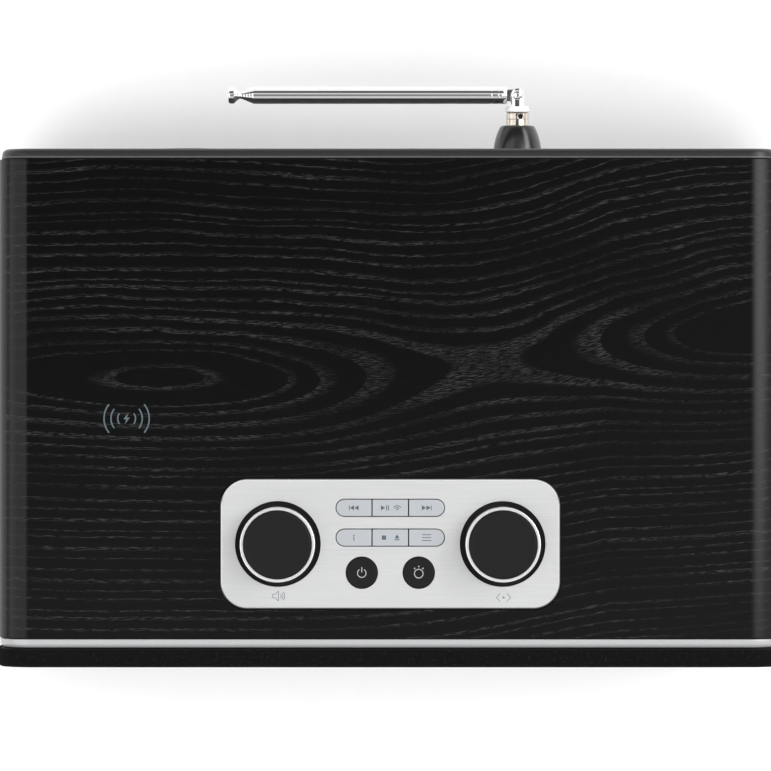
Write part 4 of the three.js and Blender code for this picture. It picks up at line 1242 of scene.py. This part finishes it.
class MESH_OT_radio_plate(RadioOperator):
    """Make the brushed control plate and the marks printed on the plate and on the wood"""

    bl_idname = "mesh.radio_plate"
    bl_label = "Control plate"

    def build(self):
        controls = settings("radio_controls")
        low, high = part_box("control_plate")
        middle = (low + high) / 2
        holes = []
        for name in ("volume", "tuning"):
            knob_low, knob_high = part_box(f"{name}_knob_ring")
            holes.append(circle((knob_low.x + knob_high.x) / 2, middle.y, controls.well, 96))
        clear = 0.35 * MM
        for first, last in (("previous_button", "next_button"), ("info_button", "menu_button")):
            row = button_face(first), button_face(last)
            a, b = row[0][0], row[1][1]
            half = (b[1] - a[1]) / 2 + clear
            holes.append(rounded(a[0] - clear, a[1] - clear, b[0] + clear, b[1] + clear, half - 1e-6, 12))
        for node in ("power_button", "source_button"):
            a, b = button_face(node)
            holes.append(circle((a[0] + b[0]) / 2, (a[1] + b[1]) / 2, (b[0] - a[0]) / 2 + clear, 64))
        bevel = controls.plate_bevel
        outline = plate_outline(0.0, 20)
        mesh = slab("control_plate", [outline, *holes], low.z, high.z, bevel=0.12 * MM, bevel_steps=1)
        mesh = tidy(self.bevel_rim(mesh, high.z, low, high, bevel))
        top = high.z - 0.02 * MM
        paint_faces(mesh, 1, lambda centre, normal: centre.z < top and normal.z > 0.1)
        finishes = ["brushed_aluminium", "bright_cut"]
        add_piece("control_face", mesh, finishes, ["control_plate"])
        repaint("panel_tray", "matt_black")
        self.marks(high.z)

    @staticmethod
    def bevel_rim(mesh, top, low, high, width):
        """Lowers the upper edge of the plate's rim into a wide flat bevel."""
        rim = 0.35 * MM
        corner = settings("radio_controls").plate_corner
        inner_low = Vector((low.x + corner, low.y + corner))
        inner_high = Vector((high.x - corner, high.y - corner))
        for vertex in mesh.vertices:
            near = Vector((
                min(max(vertex.co.x, inner_low.x), inner_high.x),
                min(max(vertex.co.y, inner_low.y), inner_high.y),
            ))
            away = Vector((vertex.co.x, vertex.co.y)) - near
            if vertex.co.z > top - 0.2 * MM and away.length > corner - rim:
                if vertex.co.z > top - 0.05 * MM:
                    shift = away.normalized() * (corner - width)
                    vertex.co.x, vertex.co.y = near + shift
                else:
                    vertex.co.z = top - 0.75 * width
        return mesh

    def marks(self, top):
        """The loudspeaker and tuning marks under the knobs, and the charging mark on the wood."""
        thin = 0.11 * MM
        stroke = 0.26 * MM
        x, y = -51.5 * MM, -101.6 * MM
        body = [(x - 2.6 * MM, y - 0.8 * MM), (x - 1.5 * MM, y - 0.8 * MM), (x + 0.1 * MM, y - 2.35 * MM),
                (x + 0.1 * MM, y + 2.35 * MM), (x - 1.5 * MM, y + 0.8 * MM), (x - 2.6 * MM, y + 0.8 * MM)]
        lines = [bar(body[i], body[(i + 1) % len(body)], stroke) for i in range(len(body))]
        waves = [arc_band(x + 0.1 * MM, y, r * MM, stroke, -0.75, 0.75) for r in (1.2, 2.05, 2.9)]
        stamp("volume_mark", [*lines, *waves], top, thin, "plate_ink")
        x, y = 52.1 * MM, -102.25 * MM
        shapes = []
        for side in (-1, 1):
            tip = (x + side * 3.3 * MM, y)
            for up in (-1, 1):
                shapes.append(bar((x + side * 1.5 * MM, y + up * 1.9 * MM), tip, stroke))
        shapes.append(circle(x, y, 0.5 * MM, 16))
        stamp("tuning_mark", shapes, top, thin, "plate_ink")
        self.charging_mark()

    def charging_mark(self):
        low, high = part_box("charging_coil")
        x, y = (low.x + high.x) / 2, (low.y + high.y) / 2
        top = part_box("cabinet_shell")[1].z
        shapes = []
        for side in (0.0, math.pi):
            for radius, reach in ((4.1, 0.62), (7.2, 0.66), (10.4, 0.68)):
                shapes.append(arc_band(x, y, radius * MM, 0.62 * MM, side - reach, side + reach, 20))
        bolt = [(0.9, 2.7), (-1.5, -0.35), (-0.1, -0.35), (-0.9, -2.7), (1.5, 0.45), (0.1, 0.45)]
        shapes.append([(x + a * MM, y + b * MM) for a, b in bolt])
        stamp("charging_mark", shapes, top, 0.06 * MM, "charge_ink")


def button_face(node):
    """The face of a button's cap: its two corners in X and Y, taken from the vertices on its top."""
    vertices = [v.co for v in frame["nodes"][node].data.vertices]
    top = max(v.z for v in vertices)
    face = [v for v in vertices if v.z > top - 0.05 * MM]
    return (
        (min(v.x for v in face), min(v.y for v in face)),
        (max(v.x for v in face), max(v.y for v in face)),
    )


def stamp(name, shapes, surface, thickness, material, body=MAIN_BODY):
    """Printed marks: each outline is a thin raised film on the surface."""
    films = [slab(name, [outline], surface - 0.01 * MM, surface + thickness) for outline in shapes]
    add_piece(name, merged(name, films), [material], body=body)


class MESH_OT_radio_knobs(RadioOperator):
    """Make the volume and tuning knobs"""

    bl_idname = "mesh.radio_knobs"
    bl_label = "Knobs"

    def build(self):
        for name in ("volume", "tuning"):
            self.cap(name)
            self.ring(name)
            repaint(f"{name}_shaft", "steel")
            repaint(f"{name}_encoder", "steel")
        repaint("tuning_plunger", "white_plastic")

    def cap(self, name):
        node = f"{name}_knob_cap"
        low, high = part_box(node)
        centre = ((low.x + high.x) / 2, (low.y + high.y) / 2, 0.0)
        radius = (high.x - low.x) / 2
        socket = 3.3 * MM
        deep = low.z + 9.0 * MM
        round_off = 0.7 * MM
        edge = arc(radius - round_off, high.z - round_off, round_off, 0.0, math.pi / 2, 6)
        dish = 0.12 * MM
        face = [(radius - 1.4 * MM, high.z - 0.02 * MM), (radius - 2.2 * MM, high.z - dish), (0.0, high.z - dish)]
        profile = [(0.0, deep), (socket, deep), (socket, low.z), (radius - 0.3 * MM, low.z),
                   (radius, low.z + 0.3 * MM), *edge, *face]
        mesh = turned(f"{name}_cap", profile, centre, sides=112)
        add_piece(f"{name}_cap", mesh, ["knob_black"], [node])

    def ring(self, name):
        node = f"{name}_knob_ring"
        low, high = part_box(node)
        centre = ((low.x + high.x) / 2, (low.y + high.y) / 2, 0.0)
        outer = (high.x - low.x) / 2
        inner = outer - 1.45 * MM
        lip = 0.4 * MM
        crown = arc(outer - lip, high.z - lip, lip, 0.0, math.pi / 2, 6)
        profile = [
            (inner, low.z), (outer - 0.6 * MM, low.z), (outer - 0.25 * MM, low.z + 0.3 * MM),
            (outer, low.z + 1.0 * MM), *crown, (inner + 0.25 * MM, high.z), (inner, high.z - 0.25 * MM),
            (inner, low.z),
        ]
        mesh = turned(f"{name}_ring", profile, centre, sides=112)
        add_piece(f"{name}_ring", mesh, ["ring_chrome"], [node])


class MESH_OT_radio_buttons(RadioOperator):
    """Make the push buttons and their marks"""

    bl_idname = "mesh.radio_buttons"
    bl_label = "Buttons"

    def build(self):
        rows = (("previous", "play_pause", "next"), ("info", "stop_eject", "menu"))
        for row in rows:
            for place, name in enumerate(row):
                self.long_button(name, place)
        for name in ("power", "source"):
            self.round_button(name)
        for name in BUTTON_MARKS:
            self.mark(name)
        repaint("control_board", "circuit_board")

    def long_button(self, name, place):
        """A capsule's end or middle, as a cap over its skirt and stem."""
        node = f"{name}_button"
        (x0, y0), (x1, y1) = button_face(node)
        low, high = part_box(node)
        half = (y1 - y0) / 2
        corner = 0.35 * MM
        quarter = math.pi / 2
        right = half if place == 2 else corner
        left = half if place == 0 else corner
        corners = (
            (x1 - right, y1 - right, right), (x0 + left, y1 - left, left),
            (x0 + left, y0 + left, left), (x1 - right, y0 + right, right),
        )
        outline = [
            point for i, (x, y, radius) in enumerate(corners)
            for point in arc(x, y, radius, i * quarter, (i + 1) * quarter, 14)
        ]
        cap = slab(node, [clean(outline)], high.z - 9.0 * MM, high.z, bevel=0.28 * MM, bevel_steps=3)
        x, y = (x0 + x1) / 2, (y0 + y1) / 2
        wide, thin = 6 * MM, 1.5 * MM
        skirt = block("skirt", (x - wide, low.y, high.z - 9.2 * MM), (x + wide, high.y, high.z - 6.2 * MM))
        stem = block("stem", (x - thin, y - thin, low.z), (x + thin, y + thin, high.z - 9.0 * MM))
        mesh = merged(f"{name}_cap_mesh", [cap, skirt, stem])
        add_piece(f"{name}_key_cap", mesh, ["button_silver"], [node])

    def round_button(self, name):
        node = f"{name}_button"
        (x0, y0), (x1, y1) = button_face(node)
        low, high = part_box(node)
        radius = (x1 - x0) / 2
        skirt = (high.x - low.x) / 2
        crown = arc(radius - 0.5 * MM, high.z - 0.5 * MM, 0.5 * MM, 0.0, math.pi / 2, 5)
        base = high.z - 6.2 * MM
        profile = [
            (0.0, low.z), (1.5 * MM, low.z), (1.5 * MM, base - 3 * MM), (skirt, base - 3 * MM), (skirt, base),
            (radius, base), *crown, (radius - 1.2 * MM, high.z - 0.02 * MM), (0.0, high.z - 0.16 * MM),
        ]
        mesh = turned(f"{name}_key", profile, ((x0 + x1) / 2, (y0 + y1) / 2, 0.0), sides=80)
        add_piece(f"{name}_key_cap", mesh, ["knob_black"], [node])

    def mark(self, name):
        node = f"{name}_button"
        (x0, y0), (x1, y1) = button_face(node)
        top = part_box(node)[1].z
        x, y = (x0 + x1) / 2, (y0 + y1) / 2
        black = name in ("power", "source")
        shapes = [[(x + a * MM, y + b * MM) for a, b in outline] for outline in BUTTON_MARKS[name]()]
        stamp(f"{name}_mark", shapes, top, 0.05 * MM, "light_ink" if black else "slate_ink", BODY_OF[node])


def clean(outline):
    """The outline without points that repeat the one before."""
    kept = []
    for point in outline:
        if not kept or math.dist(point, kept[-1]) > 1e-6:
            kept.append(point)
    if math.dist(kept[0], kept[-1]) < 1e-6:
        kept.pop()
    return kept


# Marks, in millimetres from the middle of the button.


def wedge(x, y, width, height):
    """A triangle whose tip points along X by width, which may be negative."""
    return [(x, y - height / 2), (x + width, y), (x, y + height / 2)]


def box_mark(x, y, width, height):
    return [(x, y), (x + width, y), (x + width, y + height), (x, y + height)]


def previous_mark():
    return [box_mark(-2.3, -1.15, 0.35, 2.3), wedge(0.1, 0.0, -2.0, 2.3), wedge(2.2, 0.0, -2.0, 2.3)]


def next_mark():
    return [wedge(-2.2, 0.0, 2.0, 2.3), wedge(-0.1, 0.0, 2.0, 2.3), box_mark(1.95, -1.15, 0.35, 2.3)]


def play_pause_mark():
    waves = [arc_band(3.2, -0.9, r, 0.36, 0.5, math.pi - 0.5, 12) for r in (1.0, 1.9)]
    return [
        wedge(-4.3, 0.0, 2.0, 2.3), box_mark(-1.9, -1.15, 0.42, 2.3), box_mark(-1.05, -1.15, 0.42, 2.3),
        *waves, circle(3.2, -0.8, 0.35, 12),
    ]


def info_mark():
    return [circle(0.0, 0.95, 0.34, 16), box_mark(-0.2, -1.4, 0.4, 1.75)]


def stop_eject_mark():
    arrow = [(2.0, -0.35), (4.2, -0.35), (3.1, 1.5)]
    return [box_mark(-3.9, -1.0, 2.0, 2.0), arrow, box_mark(2.0, -1.2, 2.2, 0.45)]


def menu_mark():
    return [box_mark(-2.1, y - 0.17, 4.2, 0.34) for y in (-1.35, 0.0, 1.35)]


def power_mark():
    return [arc_band(0.0, -0.2, 1.95, 0.42, math.pi * 0.68, math.pi * 2.32, 32), box_mark(-0.21, 0.1, 0.42, 2.5)]


def source_mark():
    dots = [circle(x, y, 0.36, 14) for x, y in ((-1.9, 2.0), (0.0, 2.9), (1.9, 2.0))]
    halves = [arc_band(0.0, -0.4, 2.0, 0.42, start, start + math.pi, 24) for start in (0.0, math.pi)]
    return [*halves, *dots]


BUTTON_MARKS = {
    mark.__name__.removesuffix("_mark"): mark
    for mark in (
        previous_mark, play_pause_mark, next_mark, info_mark, stop_eject_mark, menu_mark, power_mark, source_mark,
    )
}


class MESH_OT_radio_antenna(RadioOperator):
    """Make the telescopic antenna with its boss, barrel, washer and knuckle"""

    bl_idname = "mesh.radio_antenna"
    bl_label = "Antenna"

    def build(self):
        self.pivot = Vector(JOINTS["antenna_tilt"]["pos_m"])
        self.sides = settings("radio_antenna").turns
        self.boss()
        self.barrel()
        self.washer()
        self.knuckle()
        self.pivot_screw()
        self.outer_tube()
        for index in range(2, 6):
            self.inner_tube(index)
        self.tip()

    def swivel_centre(self):
        return (self.pivot.x, 0.0, self.pivot.z)

    def boss(self):
        low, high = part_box("antenna_boss")
        wide = (high.x - low.x) / 2
        end = 8.2 * MM
        long = high.y - low.y
        steps = 16
        flank = [
            (wide - (wide - end) * (0.45 * t + 0.55 * t ** 2.4), low.y + 0.6 * MM + t * (long - 1.2 * MM))
            for t in (i / steps for i in range(steps + 1))
        ]
        profile = [(0.0, low.y), (wide - 0.8 * MM, low.y), (wide - 0.2 * MM, low.y + 0.5 * MM), *flank,
                   (end - 0.5 * MM, high.y - 0.1 * MM), (end - 1.0 * MM, high.y), (5.9 * MM, high.y),
                   (5.7 * MM, high.y - 0.35 * MM), (0.0, high.y - 0.35 * MM)]
        mesh = turned("boss_dome", profile, self.swivel_centre(), axis="Y", sides=self.sides)
        add_piece("boss_dome", mesh, ["boss_gloss"], ["antenna_boss"])

    def barrel(self):
        low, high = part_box("antenna_barrel")
        radius = (high.x - low.x) / 2
        base = low.y - 0.6 * MM
        profile = [
            (0.0, base), (radius - 0.3 * MM, base), (radius, base + 0.2 * MM), (radius, low.y + 2.4 * MM),
            (radius - 0.18 * MM, low.y + 2.5 * MM), (radius - 0.18 * MM, low.y + 2.75 * MM),
            (radius, low.y + 2.85 * MM), (radius, high.y - 0.5 * MM), (radius - 0.35 * MM, high.y), (0.0, high.y),
        ]
        mesh = turned("barrel", profile, self.swivel_centre(), axis="Y", sides=self.sides)
        seat = (self.pivot.x + 1.3 * MM, high.y - 1.75 * MM, self.pivot.z + radius - 1.3 * MM)
        bore = 1.15 * MM
        cutter = turned("hole", [(0.0, 0.0), (bore, 0.0), (bore, 9 * MM), (0.0, 9 * MM)], seat, sides=24)
        mesh = carved(mesh, [cutter])
        add_piece("barrel_nickel", mesh, ["nickel"], ["antenna_barrel"])
        profile = [(0.0, -MM), (MM, -MM), (MM, 0.75 * MM), (0.8 * MM, 0.95 * MM), (0.0, 0.95 * MM)]
        set_screw = turned("set_screw", profile, seat, sides=24)
        add_piece("barrel_set_screw", set_screw, ["screw_black"])

    def washer(self):
        low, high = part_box("antenna_washer")
        radius = (high.x - low.x) / 2
        soft = 0.45 * MM
        profile = [(0.0, low.y), (radius - soft, low.y), (radius, low.y + soft), (radius, high.y - soft),
                   (radius - soft, high.y), (0.0, high.y)]
        mesh = turned("washer", profile, self.swivel_centre(), axis="Y", sides=self.sides)
        add_piece("washer_white", mesh, ["white_plastic"], ["antenna_washer"])

    def knuckle(self):
        low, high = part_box("antenna_knuckle")
        half = (high.x - low.x) / 2
        tongue = 1.3 * MM
        body = slab("knuckle", [rim(low, high, 0.0, 2.3 * MM, 10)], low.y - 0.25 * MM, high.y, facing="Y")
        reach = 3 * half
        x, y = self.pivot.x, self.pivot.y
        around = [(x - reach, y), (x + reach, y), (x + reach, y + reach), (x - reach, y + reach)]
        crown = slab("crown", [around], low.z - MM, high.z + MM)
        keep = slab("keep", [circle(x, y, half, 48)], low.z - 2 * MM, high.z + 2 * MM)
        slot = block("slot", (low.x - MM, y - half - 0.4 * MM, self.pivot.z - tongue),
                     (high.x + MM, high.y + MM, self.pivot.z + tongue))
        mesh = carved(body, [carved(crown, [keep]), slot], bevel=0.15 * MM)
        add_piece("knuckle_chrome", mesh, ["chrome"], ["antenna_knuckle"])

    def pivot_screw(self):
        low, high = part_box("antenna_pivot_screw")
        radius = (high.x - low.x) / 2
        seat = high.z - 1.4 * MM
        dome = [(radius * math.cos(a), seat + 0.35 * MM + 1.0 * MM * math.sin(a)) for a in quarter_turn()]
        profile = [(0.0, low.z), (1.4 * MM, low.z), (1.4 * MM, seat), (radius, seat), *dome[:-1],
                   (0.0, seat + 1.35 * MM)]
        head = turned("pivot_head", profile, (self.pivot.x, self.pivot.y, 0.0), sides=48)
        deep, wide, reach = 0.55 * MM, 0.32 * MM, 1.35 * MM
        x, y = self.pivot.x, self.pivot.y
        cross = [
            block("cross", (x - a, y - b, high.z - deep), (x + a, y + b, high.z + MM))
            for a, b in ((reach, wide), (wide, reach))
        ]
        mesh = carved(head, cross)
        add_piece("pivot_head", mesh, ["chrome"], ["antenna_pivot_screw"])

    def along(self, profile, name):
        """A piece turned about the rod, with distances counted from the pivot towards the tip."""
        return turned(name, profile, tuple(self.pivot), axis="-X", sides=self.sides)

    def section_size(self, index):
        low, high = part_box(f"antenna_tube_{index}")
        return (high.z - low.z) / 2, self.pivot.x - low.x

    def outer_tube(self):
        radius, end = self.section_size(1)
        groove = settings("radio_antenna").groove
        start = 4.9 * MM
        wall = 0.3 * MM
        outside = [(0.0, start), (radius - 0.5 * MM, start), (radius, start + 0.5 * MM)]
        for place in (8.6 * MM, 11.9 * MM):
            outside += [
                (radius, place - 0.4 * MM), (radius - groove, place - 0.2 * MM),
                (radius - groove, place + 0.2 * MM), (radius, place + 0.4 * MM),
            ]
        lip = [(radius, end - 1.0 * MM), (radius - 0.12 * MM, end - 0.45 * MM), (radius - 0.35 * MM, end),
               (radius - wall - 0.1 * MM, end), (radius - wall, end - 0.5 * MM)]
        inside = [(radius - wall, start + 4.0 * MM), (0.0, start + 4.0 * MM)]
        tube = self.along([*outside, *lip, *inside], "outer_tube")
        x, y = self.pivot.x, self.pivot.y
        tongue_radius = 3.0 * MM
        outline = [(x - start - MM, y - tongue_radius + 0.4 * MM), (x - 2.2 * MM, y - tongue_radius),
                   *arc(x, y, tongue_radius, -math.pi / 2, math.pi / 2, 24),
                   (x - 2.2 * MM, y + tongue_radius), (x - start - MM, y + tongue_radius - 0.4 * MM)]
        tongue = slab("tongue", [outline, circle(x, y, 1.8 * MM, 24)], self.pivot.z - 1.0 * MM,
                      self.pivot.z + 1.0 * MM, bevel=0.2 * MM)
        mesh = merged("outer_tube", [tube, tongue])
        add_piece("antenna_outer", mesh, ["chrome"], ["antenna_tube_1"])

    def inner_tube(self, index):
        node = f"antenna_tube_{index}"
        radius, end = self.section_size(index)
        start = self.pivot.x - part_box(node)[1].x
        wall = 0.28 * MM
        profile = [
            (radius - wall, start), (radius, start), (radius, end - 0.8 * MM), (radius - 0.1 * MM, end - 0.3 * MM),
            (radius - wall, end), (radius - wall - 0.08 * MM, end), (radius - wall, start),
        ]
        mesh = self.along(profile, node)
        add_piece(f"antenna_section_{index}_chrome", mesh, ["chrome"], [node])

    def tip(self):
        node = "antenna_tip"
        low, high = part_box(node)
        end = self.pivot.x - low.x
        start = self.pivot.x - high.x
        button = (high.z - low.z) / 2
        rod = 1.15 * MM
        neck = end - 7.0 * MM
        steps = 8
        flare = [
            (rod + (button - 0.5 * MM - rod) * t ** 2.2, neck + t * 3.8 * MM)
            for t in (i / steps for i in range(steps + 1))
        ]
        profile = [
            (0.0, start), (rod, start), (rod, neck - 0.5 * MM), *flare,
            (button, end - 2.6 * MM), (button, end - 0.9 * MM), (button - 0.25 * MM, end - 0.35 * MM),
            (button - 0.8 * MM, end), (0.0, end),
        ]
        mesh = self.along(profile, node)
        add_piece("antenna_tip_chrome", mesh, ["chrome"], [node])


class MESH_OT_radio_inside(RadioOperator):
    """Give the parts inside the cabinet their finishes"""

    bl_idname = "mesh.radio_inside"
    bl_label = "Inside"

    def build(self):
        finishes = {
            "steel": ["cd_cover", "left_speaker_frame", "right_speaker_frame"],
            "matt_black": ["cd_chassis", "disc_spindle", "charging_shield"],
            "paper_cone": ["left_speaker_cone", "right_speaker_cone"],
            "circuit_board": ["main_board"],
            "copper": ["charging_coil"],
        }
        for material, nodes in finishes.items():
            for node in nodes:
                repaint(node, material)


class VIEW3D_PT_radio(bpy.types.Panel):
    """The radio's steps and settings in the sidebar"""

    bl_idname = "VIEW3D_PT_radio"
    bl_label = "Tabletop Radio"
    bl_space_type = "VIEW_3D"
    bl_region_type = "UI"
    bl_category = "Radio"

    def draw(self, context):
        for operator in OPERATORS:
            self.layout.operator(operator.bl_idname)
        for name, group in SETTINGS.items():
            box = self.layout.box()
            for label in group.__annotations__:
                box.prop(getattr(context.scene, name), label)


OPERATORS = (
    SCENE_OT_radio_stage,
    MESH_OT_radio_cabinet,
    MESH_OT_radio_front,
    MESH_OT_radio_rear,
    MESH_OT_radio_plate,
    MESH_OT_radio_knobs,
    MESH_OT_radio_buttons,
    MESH_OT_radio_antenna,
    MESH_OT_radio_feet,
    MESH_OT_radio_inside,
)


def register():
    for name, group in SETTINGS.items():
        bpy.utils.register_class(group)
        setattr(bpy.types.Scene, name, PointerProperty(type=group))
    for operator in OPERATORS:
        bpy.utils.register_class(operator)
    bpy.utils.register_class(VIEW3D_PT_radio)


def unregister():
    bpy.utils.unregister_class(VIEW3D_PT_radio)
    for operator in reversed(OPERATORS):
        bpy.utils.unregister_class(operator)
    for name, group in SETTINGS.items():
        delattr(bpy.types.Scene, name)
        bpy.utils.unregister_class(group)


def main():
    register()
    bpy.ops.scene.radio_stage()
    bpy.ops.mesh.radio_cabinet()
    bpy.ops.mesh.radio_front()
    bpy.ops.mesh.radio_rear()
    bpy.ops.mesh.radio_plate()
    bpy.ops.mesh.radio_knobs()
    bpy.ops.mesh.radio_buttons()
    bpy.ops.mesh.radio_antenna()
    bpy.ops.mesh.radio_feet()
    bpy.ops.mesh.radio_inside()


if __name__ == "__main__":
    main()
